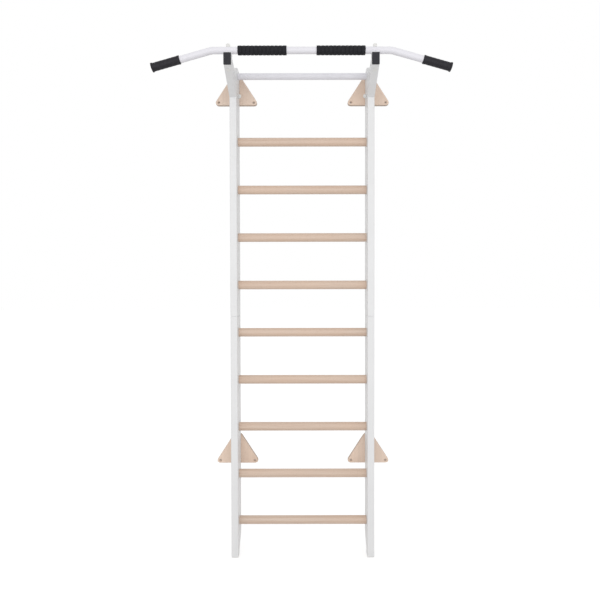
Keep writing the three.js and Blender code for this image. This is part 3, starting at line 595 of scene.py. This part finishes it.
def button_bolt(diameter, shank):
    """Bolt whose domed head stands on Z = 0 and whose shank points down."""
    head, height, steps = 0.875 * diameter, 0.55 * diameter, 6
    chamfer = 0.12 * diameter
    rings = [(-shank, diameter / 2 - chamfer), (chamfer - shank, diameter / 2), (0, diameter / 2), (0, head)]
    rings.append((0.18 * height, head))
    for step in range(1, steps):
        lean = math.pi / 2 * step / steps
        rings.append((height * (0.18 + 0.82 * math.sin(lean)), head * (0.42 + 0.58 * math.cos(lean))))
    rings.append((height, head * 0.42))
    piece = turned(rings, BOLT_SIDES)
    cut_away(piece, hex_socket(0.66 * diameter, height, 0.34 * diameter))
    return piece


def cap_bolt(diameter, shank):
    """Bolt whose tall round head stands on Z = 0 and whose shank points down."""
    head, height, chamfer = CAP_HEAD / 2 * diameter, diameter, 0.1 * diameter
    rings = [(-shank, diameter / 2 - chamfer), (chamfer - shank, diameter / 2), (0, diameter / 2), (0, head)]
    rings += [(height - chamfer, head), (height, head - chamfer)]
    piece = turned(rings, BOLT_SIDES)
    cut_away(piece, hex_socket(0.86 * diameter, height, 0.5 * diameter))
    return piece


def bar_bolt_diameter():
    """Shank of the bar's bolt, from the width of its head."""
    return extent("left_bar_bolt").x / CAP_HEAD


def dome_nut(node, axis, base=0):
    """Domed nut that stands on the low end of an axis in the node's box, with a base below it."""
    size = dict(zip("XYZ", extent(node)))
    height = size.pop(axis)
    flats = min(size.values())
    hexagon, steps = 0.69 * height, 7
    chamfer = 0.06 * flats
    nut = rod((0, 0, (hexagon - base) / 2), "Z", 2 * flats / math.sqrt(3), hexagon + base, 6)
    with editing(nut):
        pick(nut, "EDGE", lambda edge: both(edge, lambda co: is_near(co.z, hexagon) or is_near(co.z, -base)))
        round_edges(chamfer, 2)
    dome = flats / 2 * 0.97
    rings = [(hexagon / 2, dome), (hexagon, dome)]
    for step in range(1, steps):
        lean = math.pi / 2 * step / steps
        rings.append((hexagon + (height - hexagon) * math.sin(lean), dome * math.cos(lean)))
    rings.append((height, dome * 0.06))
    join_on(nut, turned(rings, BOLT_SIDES))
    return nut


# Operators, one for each piece or group of like pieces
class WALLBARS_OT_rungs(bpy.types.Operator):
    """Models one oval beech rung and copies it to each rung's place"""

    bl_idname = "wall_bars.rungs"
    bl_label = "Beech rungs"

    def execute(self, context):
        nodes = numbered("rung_")
        low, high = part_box(nodes[0])
        rung = oval_rod(low, high)
        with editing(rung):
            pick(rung, "EDGE", lambda edge: not runs_along(edge, 0))
            round_edges(sizes().rung_end, 3)
        for node in nodes[1:]:
            copy = copied(rung, middle(node) - middle(nodes[0]))
            finish_piece(copy, f"beech_{node}", material(beech), "beech", node)
        finish_piece(rung, f"beech_{nodes[0]}", material(beech), "beech", nodes[0])
        return {"FINISHED"}


class WALLBARS_OT_top_rung(bpy.types.Operator):
    """Models the steel tube that is the top rung"""

    bl_idname = "wall_bars.top_rung"
    bl_label = "Top rung"

    def execute(self, context):
        low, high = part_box("top_rung")
        tube = oval_rod(low, high)
        with editing(tube):
            pick(tube, "FACE", lambda face: abs(face.normal.x) > 0.9)
            bpy.ops.mesh.delete(type="FACE")
        modify(tube, "SOLIDIFY", thickness=sizes().tube_wall, offset=-1, use_even_offset=True)
        finish_piece(tube, "top_rung_tube", material(tube_coat), "white_coat", "top_rung")
        return {"FINISHED"}


def outline_edge(edge):
    """True for an edge of an upright's side outline, which has a round edge."""
    return not runs_along(edge, 0) and is_near(edge.verts[0].co.x, edge.verts[1].co.x)


def upright_block(section):
    """Solid block of one length of the left upright, with its foot or its crown shaped."""
    size = sizes()
    low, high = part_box(f"left_upright_{section}")
    if section == "upper":
        piece = block(low, high)
        with editing(piece):
            pick(piece, "EDGE", lambda edge: both(edge, lambda co: is_near(co.y, low.y) and is_near(co.z, high.z)))
            round_edges(size.upright_crown, 14)
        return piece
    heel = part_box("left_foot_cap")[1].y
    notch_floor = size.notch_height - (high.y - heel) * math.tan(size.notch_slope)
    piece = block((low.x, low.y, size.notch_height), high)
    with editing(piece):
        pick(piece, "FACE", lambda face: face.normal.z < -0.9)
        extrude(z=notch_floor - size.notch_height)
        pick(piece, "VERT", lambda corner: is_near(corner.co.z, notch_floor) and is_near(corner.co.y, high.y))
        move(y=heel - high.y)
        pick(piece, "FACE", lambda face: face.normal.z < -0.99)
        extrude(z=low.z - notch_floor)
        bpy.ops.mesh.select_all(action="SELECT")
        bpy.ops.mesh.dissolve_limited(angle_limit=math.radians(1))
    return piece


def upright(section):
    """One length of the left upright: a box section with sockets for the rungs in its inner side."""
    size = sizes()
    low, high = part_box(f"left_upright_{section}")
    is_upper = section == "upper"
    open_ends = (low.z,) if is_upper else (low.z, high.z)
    seam = low.z if is_upper else high.z

    def at_open_end(element):
        return any(all(is_near(corner.co.z, end) for corner in element.verts) for end in open_ends)

    piece = upright_block(section)
    with editing(piece):
        pick(piece, "EDGE", lambda edge: outline_edge(edge) and not at_open_end(edge))
        round_edges(size.upright_edge, 5)
        pick(piece, "FACE", at_open_end)
        bpy.ops.mesh.delete(type="FACE")
    modify(piece, "SOLIDIFY", thickness=size.upright_wall, offset=-1, use_even_offset=True)
    centre = (low + high) / 2

    def on_seam(edge):
        outward = (edge.verts[0].co + edge.verts[1].co) / 2 - centre
        sheet = [face for face in edge.link_faces if abs(face.normal.z) < 0.5]
        flat_outward = Vector((outward.x, outward.y, 0))
        return both(edge, lambda co: is_near(co.z, seam)) and sheet and sheet[0].normal.dot(flat_outward) > 0

    with editing(piece):
        pick(piece, "EDGE", on_seam)
        round_edges(size.seam_edge, 3)
    cut_away(piece, *upright_cutters(section, low, high))
    return piece


def upright_cutters(section, low, high):
    """Sockets and bolt holes of one length of the left upright."""
    gap = Vector((0, sizes().socket_gap, sizes().socket_gap))
    half_width = Vector(((high.x - low.x) / 2, 0, 0))
    cutters = []
    for node in [*numbered("rung_"), "top_rung"]:
        centre, half = middle(node), extent(node) / 2
        if low.z < centre.z < high.z:
            mouth = Vector((high.x, centre.y, centre.z))
            reach = half_width + Vector((0, half.y, half.z)) + gap
            cutters.append(oval_rod(mouth - reach, mouth + reach))
    size, middle_x = sizes(), centre_x("left_arm")
    slack = 2 * size.fit_gap
    for node in numbered(f"left_plate_bolt_{section}_"):
        seat = (middle_x, high.y, middle(node).z)
        cutters.append(rod(seat, "Y", bolt_diameter(node) + slack, 2 * half_width.x, ROUND_SIDES))
    screw = middle(f"left_joint_screw_{section}")
    cutters.append(rod((low.x, screw.y, screw.z), "X", size.joint_screw + slack, 2 * half_width.x, BOLT_SIDES))
    if section == "upper":
        nut = middle("left_arm_nut")
        slot = Vector((half_width.x - size.upright_wall, 2 * size.upright_wall, size.tongue_height / 2 + size.fit_gap))
        mouth = Vector((middle_x, low.y, nut.z))
        cutters.append(block(mouth - slot, mouth + slot))
        cutters.append(rod((middle_x, nut.y, nut.z), "X", size.arm_bolt + slack, 4 * half_width.x, BOLT_SIDES))
    return cutters


def centre_x(node):
    return middle(node).x


def bolt_diameter(node):
    """Shank of a cap bolt, whose head is 1.625 times as wide."""
    return min(extent(node)) / 1.625


class WALLBARS_OT_uprights(bpy.types.Operator):
    """Models the two lengths of the left upright and mirrors them to the right"""

    bl_idname = "wall_bars.uprights"
    bl_label = "Uprights"

    def execute(self, context):
        for section in SECTIONS:
            finish_pair(
                upright(section), f"upright_{section}_shell", material(frame_coat), "white_coat", f"upright_{section}"
            )
        return {"FINISHED"}


class WALLBARS_OT_feet(bpy.types.Operator):
    """Models the caps that close the uprights at the floor"""

    bl_idname = "wall_bars.feet"
    bl_label = "Foot caps"

    def execute(self, context):
        size = sizes()
        low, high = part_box("left_foot_cap")
        plug_height = high.z - size.foot_plate
        cap = block(low, (high.x, high.y, size.foot_plate))
        with editing(cap):
            pick(cap, "EDGE", lambda edge: runs_along(edge, 2))
            round_edges(size.upright_edge, 5)
            pick(cap, "EDGE", lambda edge: both(edge, lambda co: is_near(co.z, low.z)))
            round_edges(size.foot_edge, 3)
            pick(cap, "FACE", lambda face: face.normal.z > 0.9)
            bpy.ops.mesh.inset(thickness=size.upright_wall + size.fit_gap, depth=0)
            extrude(z=plug_height)
            bpy.ops.mesh.inset(thickness=0.002, depth=0)
            extrude(z=-0.8 * plug_height)
        finish_pair(cap, "foot_plug", material(white_plastic), "white_plastic", "foot_cap")
        return {"FINISHED"}


def wall_plate(node):
    """Rounded triangle whose rear face lies on the wall."""
    size = sizes()
    low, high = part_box(node)
    thickness = high.y - low.y
    height = size.plate_base / 2 / math.tan(size.plate_apex / 2)
    radius = 1.0
    bpy.ops.mesh.primitive_circle_add(vertices=3, radius=radius, fill_type="NGON")
    plate = settle(bpy.context.object, turn=(math.pi / 2, 0, 0))
    base_angle = math.pi / 2 - size.plate_apex / 2
    with editing(plate):
        bpy.ops.mesh.select_all(action="SELECT")
        bpy.ops.transform.resize(
            value=(size.plate_base / (radius * math.sqrt(3)), 1, height / (1.5 * radius)), center_override=(0, 0, 0)
        )
        move(x=centre_x(node), z=low.z + height / 3)
        corners = (
            (low.z + height, size.plate_apex, size.plate_apex_radius),
            (low.z, base_angle, size.plate_base_radius),
        )
        for corner_z, corner_angle, corner_radius in corners:
            pick(plate, "VERT", lambda corner: is_near(corner.co.z, corner_z))
            bpy.ops.mesh.bevel(
                offset=corner_radius / math.tan(corner_angle / 2), offset_type="OFFSET", segments=12, profile=0.5,
                affect="VERTICES",
            )
        bpy.ops.mesh.select_all(action="SELECT")
        extrude(y=-thickness)
    face_outwards(plate)
    with editing(plate):
        pick(plate, "EDGE", lambda edge: not runs_along(edge, 1))
        round_edges(size.plate_edge, 3)
    return plate


def plate_cutters(node, bolts):
    """Countersunk wall holes and the seats of the bolts."""
    size = sizes()
    low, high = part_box(node)
    thickness = high.y - low.y
    cutters = []
    for sign in SIDES.values():
        x = centre_x(node) + sign * (size.plate_base / 2 - size.wall_hole_inset)
        hole = Vector((x, high.y, low.z + size.wall_hole_rise))
        cutters.append(rod(hole, "Y", size.wall_hole, 3 * thickness, 32))
        bpy.ops.mesh.primitive_cone_add(
            vertices=32, radius1=size.wall_hole_sink, radius2=0, depth=size.wall_hole_sink,
            location=(x, low.y, hole.z), rotation=TURN_TO["Y"],
        )
        cutters.append(settle(bpy.context.object))
    for bolt in bolts:
        shank = bolt_diameter(bolt)
        recess = high.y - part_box(bolt)[1].y + shank
        seat = Vector((centre_x(node), high.y, middle(bolt).z))
        cutters.append(rod(seat, "Y", shank + 0.0006, 3 * thickness, 32))
        cutters.append(rod(seat, "Y", 1.625 * shank + 0.0012, 2 * recess, 32))
    return cutters


class WALLBARS_OT_wall_plates(bpy.types.Operator):
    """Models the triangular wall plates with their countersunk holes"""

    bl_idname = "wall_bars.wall_plates"
    bl_label = "Wall plates"

    def execute(self, context):
        for section in SECTIONS:
            node = f"left_wall_plate_{section}"
            plate = wall_plate(node)
            cut_away(plate, *plate_cutters(node, numbered(f"left_plate_bolt_{section}_")))
            finish_pair(plate, f"ply_plate_{section}", material(plywood), "plywood", f"wall_plate_{section}")
        return {"FINISHED"}


def arm_top_rise():
    """Height that the upper side of an arm gains for each metre forward."""
    low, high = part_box("left_arm")
    return (high.z - low.z - sizes().arm_root) / (arm_rear() - low.y)


def arm_rear():
    """Place of the arms' rear ends, just in front of the uprights."""
    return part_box("left_upright_upper")[0].y - sizes().fit_gap


def arm_tube():
    """Rising, narrowing tube of the left arm with the tongue behind it."""
    size = sizes()
    low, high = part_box("left_arm")
    rear, top = arm_rear(), low.z + size.arm_root
    tube = block(low, (high.x, rear, top))
    with editing(tube):
        pick(tube, "VERT", lambda corner: is_near(corner.co.y, low.y) and is_near(corner.co.z, low.z))
        move(z=(rear - low.y) * math.tan(size.arm_slope))
        pick(tube, "VERT", lambda corner: is_near(corner.co.y, low.y) and is_near(corner.co.z, top))
        move(z=high.z - top)
        pick(tube, "EDGE", lambda edge: not is_near(edge.verts[0].co.y, edge.verts[1].co.y))
        round_edges(size.arm_edge, 4)
        pick(tube, "FACE", lambda face: is_near(face.calc_center_median().y, low.y))
        bpy.ops.mesh.delete(type="FACE")
    modify(tube, "SOLIDIFY", thickness=size.arm_wall, offset=-1, use_even_offset=True)
    inset = size.upright_wall + size.fit_gap
    with editing(tube):
        pick(tube, "FACE", lambda face: face.normal.y > 0.9 and is_near(face.calc_center_median().y, rear))
        bpy.ops.mesh.inset(thickness=inset, depth=0)
        root_middle = low.z + size.arm_root / 2
        bpy.ops.transform.resize(
            value=(1, 1, size.tongue_height / (size.arm_root - 2 * inset)),
            center_override=(centre_x("left_arm"), rear, root_middle),
        )
        move(z=middle("left_arm_nut").z - root_middle)
        extrude(y=high.y - rear)
    return tube


class WALLBARS_OT_arms(bpy.types.Operator):
    """Models the rising arms, their end caps and the saddles under the bar"""

    bl_idname = "wall_bars.arms"
    bl_label = "Arms"

    def execute(self, context):
        size = sizes()
        tube = arm_tube()
        nut = middle("left_bar_nut")
        bolt_low, bolt_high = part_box("left_bar_bolt")
        head = bolt_high.x - bolt_low.x
        access = rod((nut.x, nut.y, bolt_low.z - 0.03), "Z", head + 0.002, 0.06)
        saddle = middle("left_bar_saddle")
        hole = bar_bolt_diameter() + 2 * size.fit_gap
        through = rod((nut.x, nut.y, saddle.z), "Z", hole, 0.04, BOLT_SIDES)
        side_nut = middle("left_arm_nut")
        crossing = rod((nut.x, side_nut.y, side_nut.z), "X", size.arm_bolt + 2 * size.fit_gap, 0.06, BOLT_SIDES)
        cut_away(tube, access, through, crossing)
        finish_pair(tube, "arm_tube", material(frame_coat), "white_coat", "arm")
        finish_pair(self.end_cap(), "arm_cap", material(cap_plastic), "black_plastic", "arm_end_cap")
        finish_pair(self.saddle(), "saddle_block", material(frame_coat), "white_coat", "bar_saddle")
        finish_pair(self.plug(), "access_plug", material(white_plastic), "white_plastic", "arm_plug")
        return {"FINISHED"}

    def plug(self):
        """Plug that closes the hole under the bar's bolt, square to the arm's slope."""
        size = sizes()
        rim, edge = extent("left_arm_plug").x / 2, 0.3 * size.plug_rim
        rings = [(-size.plug_rim, rim - 3 * edge), (edge - size.plug_rim, rim - edge), (-edge, rim)]
        rings += [(0, rim - edge), (0, size.plug_stem), (4 * size.plug_rim, size.plug_stem)]
        nut = middle("left_bar_nut")
        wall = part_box("left_arm")[0].z + (arm_rear() - nut.y) * math.tan(size.arm_slope)
        return settle(turned(rings, BOLT_SIDES), (-size.arm_slope, 0, 0), (nut.x, nut.y, wall - size.fit_gap))

    def end_cap(self):
        """Cap with a plug that leans down into the arm's tube."""
        size = sizes()
        low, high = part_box("left_arm_end_cap")
        back = low.y + size.cap_depth
        cap = block(low, (high.x, back, high.z))
        with editing(cap):
            pick(cap, "EDGE", lambda edge: runs_along(edge, 1))
            round_edges(size.arm_edge + size.cap_overhang, 6)
            pick(cap, "EDGE", lambda edge: both(edge, lambda co: is_near(co.y, low.y)))
            round_edges(size.cap_edge, 4)
        wall = Vector((1, 0, 1)) * (size.cap_overhang + size.arm_wall + 2 * size.fit_gap)
        plug = block(Vector((low.x, back - size.cap_edge, low.z)) + wall, high - wall)
        with editing(plug):
            pick(plug, "VERT", lambda corner: is_near(corner.co.y, high.y))
            move(z=(back - high.y) * math.tan(size.arm_slope))
            pick(plug, "EDGE", lambda edge: both(edge, lambda co: is_near(co.y, high.y)))
            round_edges(size.cap_overhang, 2)
        join_on(cap, plug)
        return cap

    def saddle(self):
        low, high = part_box("left_bar_saddle")
        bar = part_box("pull_up_bar")
        radius = (bar[1].y - bar[0].y) / 2
        reach = (high.y - low.y) / 2
        saddle = block(low, high)
        with editing(saddle):
            pick(saddle, "VERT", lambda corner: is_near(corner.co.z, low.z) and is_near(corner.co.y, low.y))
            move(z=2 * reach * arm_top_rise())
        seat = rod((centre_x("left_arm"), middle("left_bar_saddle").y, bar[1].z - radius), "X",
                   2 * (radius + sizes().fit_gap), 0.1, 64)
        cut_away(saddle, seat)
        with editing(saddle):
            pick(saddle, "EDGE", lambda edge: edge.is_manifold and edge.calc_face_angle() > math.radians(40))
            round_edges(0.0007, 2, clamp_overlap=True)
        hole = bar_bolt_diameter() + 2 * sizes().fit_gap
        cut_away(saddle, rod(middle("left_bar_saddle"), "Z", hole, 0.1, BOLT_SIDES))
        return saddle


class WALLBARS_OT_pull_up_bar(bpy.types.Operator):
    """Models the bent tube of the pull-up bar"""

    bl_idname = "wall_bars.pull_up_bar"
    bl_label = "Pull-up bar"

    def execute(self, context):
        size = sizes()
        low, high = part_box("pull_up_bar")
        radius = (high.y - low.y) / 2
        centre = Vector((0, (low.y + high.y) / 2, high.z - radius))
        bend_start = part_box("right_arm")[1].x + size.bend_beyond
        bpy.ops.mesh.primitive_circle_add(vertices=ROUND_SIDES, radius=radius, fill_type="NOTHING")
        tube = settle(bpy.context.object, turn=TURN_TO["X"], place=centre)
        with editing(tube):
            bpy.ops.mesh.select_all(action="SELECT")
            extrude(x=bend_start)
            bpy.ops.mesh.spin(
                steps=14, angle=size.bend_angle, center=(bend_start, centre.y, centre.z - size.bend_radius),
                axis=(0, -1, 0),
            )
            extrude(x=size.droop * math.cos(size.bend_angle), z=-size.droop * math.sin(size.bend_angle))
        modify(tube, "MIRROR", use_axis=(True, False, False), merge_threshold=NEAR)
        face_outwards(tube)
        modify(tube, "SOLIDIFY", thickness=size.tube_wall, offset=-1, use_even_offset=True)
        for side in SIDES:
            nut = middle(f"{side}_bar_nut")
            hole = bar_bolt_diameter() + 2 * size.fit_gap
            cut_away(tube, rod((nut.x, nut.y, centre.z), "Z", hole, 4 * radius, BOLT_SIDES))
        finish_piece(tube, "pull_up_tube", material(tube_coat), "white_coat", "pull_up_bar")
        return {"FINISHED"}


class WALLBARS_OT_grips(bpy.types.Operator):
    """Models the ribbed inner grips and the flanged end grips"""

    bl_idname = "wall_bars.grips"
    bl_label = "Grips"

    def execute(self, context):
        centre = middle("left_inner_grip")
        inner = settle(self.inner_grip(), turn=TURN_TO["X"], place=centre)
        finish_pair(inner, "ribbed_grip", material(ribbed_rubber), "black_rubber", "inner_grip")
        finish_pair(self.end_grip(), "flanged_grip", material(smooth_rubber_painted_sheen), "black_rubber", "end_grip")
        return {"FINISHED"}

    def inner_grip(self):
        size = sizes()
        span, width = extent("left_inner_grip").x, extent("left_inner_grip").z
        outer, bore, end = width / 2, size.grip_bore, span / 2
        lip = 0.0012
        ribs = math.floor(span / size.rib_pitch)
        rib = (span - 2 * lip) / ribs
        rings = [(-end, bore), (-end, outer - lip), (lip - end, outer)]
        for index, share in itertools.product(range(ribs), (0.12, 0.3, 0.5, 0.7, 0.88, 0.96, 1.0)):
            if index == ribs - 1 and share > 0.9:
                break
            crown = outer - size.rib_depth * max(0.0, abs(2 * share - 1) ** 6)
            rings.append((lip - end + (index + share) * rib, crown))
            if share == 1.0:
                rings.append((lip - end + (index + 1.04) * rib, outer - size.rib_depth * 0.92 ** 6))
        rings += [(end - lip, outer), (end, outer - lip), (end, bore), (-end, bore)]
        return turned(rings, 64, hollow=True)

    def end_grip(self):
        """Closed grip of soft rings between a low collar and a flange with a bulging end."""
        size = sizes()
        low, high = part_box("left_end_grip")
        flange = (high.y - low.y) / 2
        body = flange - size.flange_rise
        collar = body + size.soft_edge / 2
        end = size.fit_gap + size.grip_end
        start = end - size.end_grip_length
        ringed, step = start + size.collar_length, end - size.flange_length
        rings = [(size.fit_gap, size.grip_bore), (start, size.grip_bore), (start, collar - size.soft_edge)]
        rings += [(start + size.soft_edge, collar), (ringed - 2 * size.soft_edge, collar), (ringed, body)]
        fingers = math.floor((step - ringed) / size.finger_pitch)
        finger = (step - ringed) / fingers
        for index, share in itertools.product(range(fingers), (0.15, 0.35, 0.5, 0.65, 0.85, 1.0)):
            dip = size.finger_depth * math.sin(math.pi * share)
            rings.append((ringed + (index + share) * finger, body - dip))
        rings += [(step + size.soft_edge / 2, flange - size.soft_edge / 2), (step + size.soft_edge, flange)]
        bulge = 0.3 * size.flange_length
        rings += [(end - bulge - size.soft_edge, flange), (end - bulge, flange - size.soft_edge / 2)]
        for share in (0.85, 0.65, 0.4, 0.1):
            rings.append((end - bulge * share ** 2, flange * share))
        return settle(turned(rings, 64), turn=(0, -math.pi / 2 - size.bend_angle, 0), place=self.bar_tip())

    def bar_tip(self):
        """End of the bar's middle line on the left."""
        size = sizes()
        low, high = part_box("pull_up_bar")
        radius = (high.y - low.y) / 2
        bend_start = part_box("left_arm")[0].x - size.bend_beyond
        lean = size.bend_angle
        x = bend_start - size.bend_radius * math.sin(lean) - size.droop * math.cos(lean)
        drop = size.bend_radius * (1 - math.cos(lean)) + size.droop * math.sin(lean)
        return Vector((x, (low.y + high.y) / 2, high.z - radius - drop))


class WALLBARS_OT_fasteners(bpy.types.Operator):
    """Models the bolts, screws and domed nuts"""

    bl_idname = "wall_bars.fasteners"
    bl_label = "Fasteners"

    def execute(self, context):
        steel = material(zinc_plate)
        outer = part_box("left_upright_upper")[0].x
        screws = [(f"left_joint_screw_{section}", sizes().joint_screw) for section in SECTIONS]
        for node, diameter in [*screws, ("left_arm_bolt", sizes().arm_bolt)]:
            low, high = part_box(node)
            shank = high.x - outer + sizes().fit_gap
            bolt = settle(button_bolt(diameter, shank), TURN_TO["-X"], (outer - sizes().fit_gap, middle(node).y, middle(node).z))
            name = node.removeprefix("left_")
            finish_pair(bolt, f"zinc_{name}", steel, "steel", name)
        for section in SECTIONS:
            for node in numbered(f"left_plate_bolt_{section}_"):
                low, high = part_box(node)
                diameter = bolt_diameter(node)
                seat = high.y - diameter
                bolt = settle(cap_bolt(diameter, seat - low.y), TURN_TO["Y"], (middle(node).x, seat, middle(node).z))
                name = node.removeprefix("left_")
                finish_pair(bolt, f"zinc_{name}", steel, "steel", name)
        low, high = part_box("left_bar_bolt")
        diameter, place = bar_bolt_diameter(), middle("left_bar_bolt")
        place.z = low.z + diameter
        bolt = settle(cap_bolt(diameter, high.z - place.z), (math.pi, 0, 0), place)
        finish_pair(bolt, "zinc_bar_bolt", steel, "steel", "bar_bolt")
        self.rung_bolts(steel, outer)
        self.nuts()
        return {"FINISHED"}

    def rung_bolts(self, steel, outer):
        nodes = [*numbered("rung_"), "top_rung"]
        diameter = sizes().rung_bolt
        first = settle(button_bolt(diameter, 0.02), TURN_TO["-X"], (outer - sizes().fit_gap, middle(nodes[0]).y, middle(nodes[0]).z))
        for node in nodes:
            bolt = copied(first, middle(node) - middle(nodes[0]))
            finish_pair(bolt, f"bolt_of_{node}", steel, "steel")
        bpy.data.objects.remove(first)

    def nuts(self):
        """Nut hollowed to sit on the bar, and nut on the inner side of the upright."""
        gap = sizes().fit_gap
        seat, foot = middle("left_bar_nut"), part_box("left_bar_nut")[0].z
        bar_low, bar_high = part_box("pull_up_bar")
        radius = (bar_high.y - bar_low.y) / 2
        nut = settle(dome_nut("left_bar_nut", "Z", radius / 3), place=(seat.x, seat.y, foot))
        saddle = rod((seat.x, seat.y, bar_high.z - radius), "X", 2 * (radius + gap), 4 * radius, ROUND_SIDES)
        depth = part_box("left_bar_bolt")[1].z - foot + gap
        bore = rod((seat.x, seat.y, foot), "Z", bar_bolt_diameter() + gap, 2 * depth, BOLT_SIDES)
        cut_away(nut, saddle, bore)
        finish_pair(nut, "domed_bar_nut", material(white_plastic), "white_plastic", "bar_nut")
        seat, face = middle("left_arm_nut"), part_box("left_arm_nut")[0].x
        nut = settle(dome_nut("left_arm_nut", "X"), TURN_TO["X"], (face, seat.y, seat.z))
        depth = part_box("left_arm_bolt")[1].x - face + gap
        cut_away(nut, rod((face, seat.y, seat.z), "X", sizes().arm_bolt + gap, 2 * depth, BOLT_SIDES))
        finish_pair(nut, "domed_arm_nut", material(white_plastic), "white_plastic", "arm_nut")


class WALLBARS_OT_hidden(bpy.types.Operator):
    """Gives the pieces inside the uprights their finish"""

    bl_idname = "wall_bars.hidden"
    bl_label = "Joint sleeves"

    def execute(self, context):
        for side in SIDES:
            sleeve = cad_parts[f"{side}_joint_sleeve"]
            sleeve.data.materials.clear()
            sleeve.data.materials.append(material(zinc_plate))
        return {"FINISHED"}


PHOTO_WIDTH = 600
FOCAL_PIXELS = 545.87
CAMERA_PLACE = (0.026, -2.677, 1.2607)
CAMERA_PITCH = math.radians(-1.157)
CAMERA_ROLL = math.radians(-0.1)
CAMERA_SHIFT_PIXELS = -8
SKY_STRENGTH = 0.79
FLOOR_GLOW = 0.44
SOFTBOX_SIZE = 4.2
SOFTBOX_PLACE = (0, -5, 2.12)
SOFTBOX_POWER = 84


def seen_directly(tree):
    """Socket that is 1 for rays from the camera, a gloss or a clear body, and 0 for diffuse light."""
    rays = tree.nodes.new("ShaderNodeLightPath").outputs
    socket = rays["Is Camera Ray"]
    for name in ("Is Glossy Ray", "Is Transmission Ray"):
        either = tree.nodes.new("ShaderNodeMath")
        either.operation = "MAXIMUM"
        tree.links.new(socket, either.inputs[0])
        tree.links.new(rays[name], either.inputs[1])
        socket = either.outputs["Value"]
    return socket


class WALLBARS_OT_stage(bpy.types.Operator):
    """Sets the camera, the pale floor, the lamps and the white surround"""

    bl_idname = "wall_bars.stage"
    bl_label = "Stage"

    def execute(self, context):
        self.camera(context)
        self.floor()
        self.surround(context)
        self.softbox(context)
        context.scene.view_settings.view_transform = "Standard"
        return {"FINISHED"}

    def camera(self, context):
        lens = bpy.data.cameras.new("camera")
        lens.sensor_width = 36
        lens.lens = lens.sensor_width * FOCAL_PIXELS / PHOTO_WIDTH
        lens.shift_x = CAMERA_SHIFT_PIXELS / PHOTO_WIDTH
        lens.clip_end = 100
        camera = bpy.data.objects.new("camera", lens)
        camera.location = CAMERA_PLACE
        aim = Euler((math.pi / 2 + CAMERA_PITCH, 0, 0)).to_matrix()
        camera.rotation_euler = (aim @ Euler((0, 0, CAMERA_ROLL)).to_matrix()).to_euler()
        context.scene.collection.objects.link(camera)
        context.scene.camera = camera

    def floor(self):
        """Pale floor that takes the object's shadow and looks white to the camera."""
        bpy.ops.object.select_all(action="DESELECT")
        bpy.ops.mesh.primitive_plane_add(size=60)
        floor = bpy.context.object
        floor.name = "studio_floor"
        finish = Finish("studio_floor")
        finish.colour_from(finish.blend(finish.noise(3), colours().floor, shade(colours().floor, 0.99)))
        finish.set(Roughness=0.9, Specular_IOR_Level=0.1, Emission_Color=(1, 1, 1, 1))
        glow = seen_directly(finish.tree)
        finish.link(finish.spread(glow, 0, 1, 0, FLOOR_GLOW), finish.shader.inputs["Emission Strength"])
        floor.data.materials.append(finish.material)

    def surround(self, context):
        """Soft light all round, and plain white where the camera or a gloss looks at it."""
        world = bpy.data.worlds.new("white_surround")
        world.use_nodes = True
        tree = world.node_tree
        strength = tree.nodes.new("ShaderNodeMapRange")
        strength.inputs["To Min"].default_value = SKY_STRENGTH
        tree.links.new(seen_directly(tree), strength.inputs["Value"])
        background = tree.nodes["Background"]
        background.inputs["Color"].default_value = (1, 1, 1, 1)
        tree.links.new(strength.outputs["Result"], background.inputs["Strength"])
        context.scene.world = world

    def softbox(self, context):
        """Square soft light behind the camera, facing the object."""
        light = bpy.data.lights.new("softbox", "AREA")
        light.size = SOFTBOX_SIZE
        light.energy = SOFTBOX_POWER
        lamp = bpy.data.objects.new("softbox", light)
        lamp.location = SOFTBOX_PLACE
        lamp.rotation_euler = (math.pi / 2, 0, 0)
        context.scene.collection.objects.link(lamp)


class VIEW3D_PT_wall_bars(bpy.types.Panel):
    """Sizes, colours and pieces of the wall bars"""

    bl_label = "Wall Bars"
    bl_category = "Wall Bars"
    bl_space_type = "VIEW_3D"
    bl_region_type = "UI"

    def draw(self, context):
        for group in (context.scene.wall_bars_sizes, context.scene.wall_bars_colours):
            box = self.layout.box()
            for name in group.__annotations__:
                box.prop(group, name)
        for operator in OPERATORS:
            self.layout.operator(operator.bl_idname)


GROUPS = (WallBarsSizes, WallBarsColours)
OPERATORS = (
    WALLBARS_OT_stage,
    WALLBARS_OT_rungs,
    WALLBARS_OT_top_rung,
    WALLBARS_OT_uprights,
    WALLBARS_OT_feet,
    WALLBARS_OT_wall_plates,
    WALLBARS_OT_arms,
    WALLBARS_OT_pull_up_bar,
    WALLBARS_OT_grips,
    WALLBARS_OT_fasteners,
    WALLBARS_OT_hidden,
)


def register():
    for cls in (*GROUPS, *OPERATORS, VIEW3D_PT_wall_bars):
        bpy.utils.register_class(cls)
    bpy.types.Scene.wall_bars_sizes = PointerProperty(type=WallBarsSizes)
    bpy.types.Scene.wall_bars_colours = PointerProperty(type=WallBarsColours)


def unregister():
    del bpy.types.Scene.wall_bars_colours
    del bpy.types.Scene.wall_bars_sizes
    for cls in reversed((*GROUPS, *OPERATORS, VIEW3D_PT_wall_bars)):
        bpy.utils.unregister_class(cls)


def main():
    register()
    for operator in OPERATORS:
        group, name = operator.bl_idname.split(".")
        getattr(getattr(bpy.ops, group), name)()


if __name__ == "__main__":
    main()
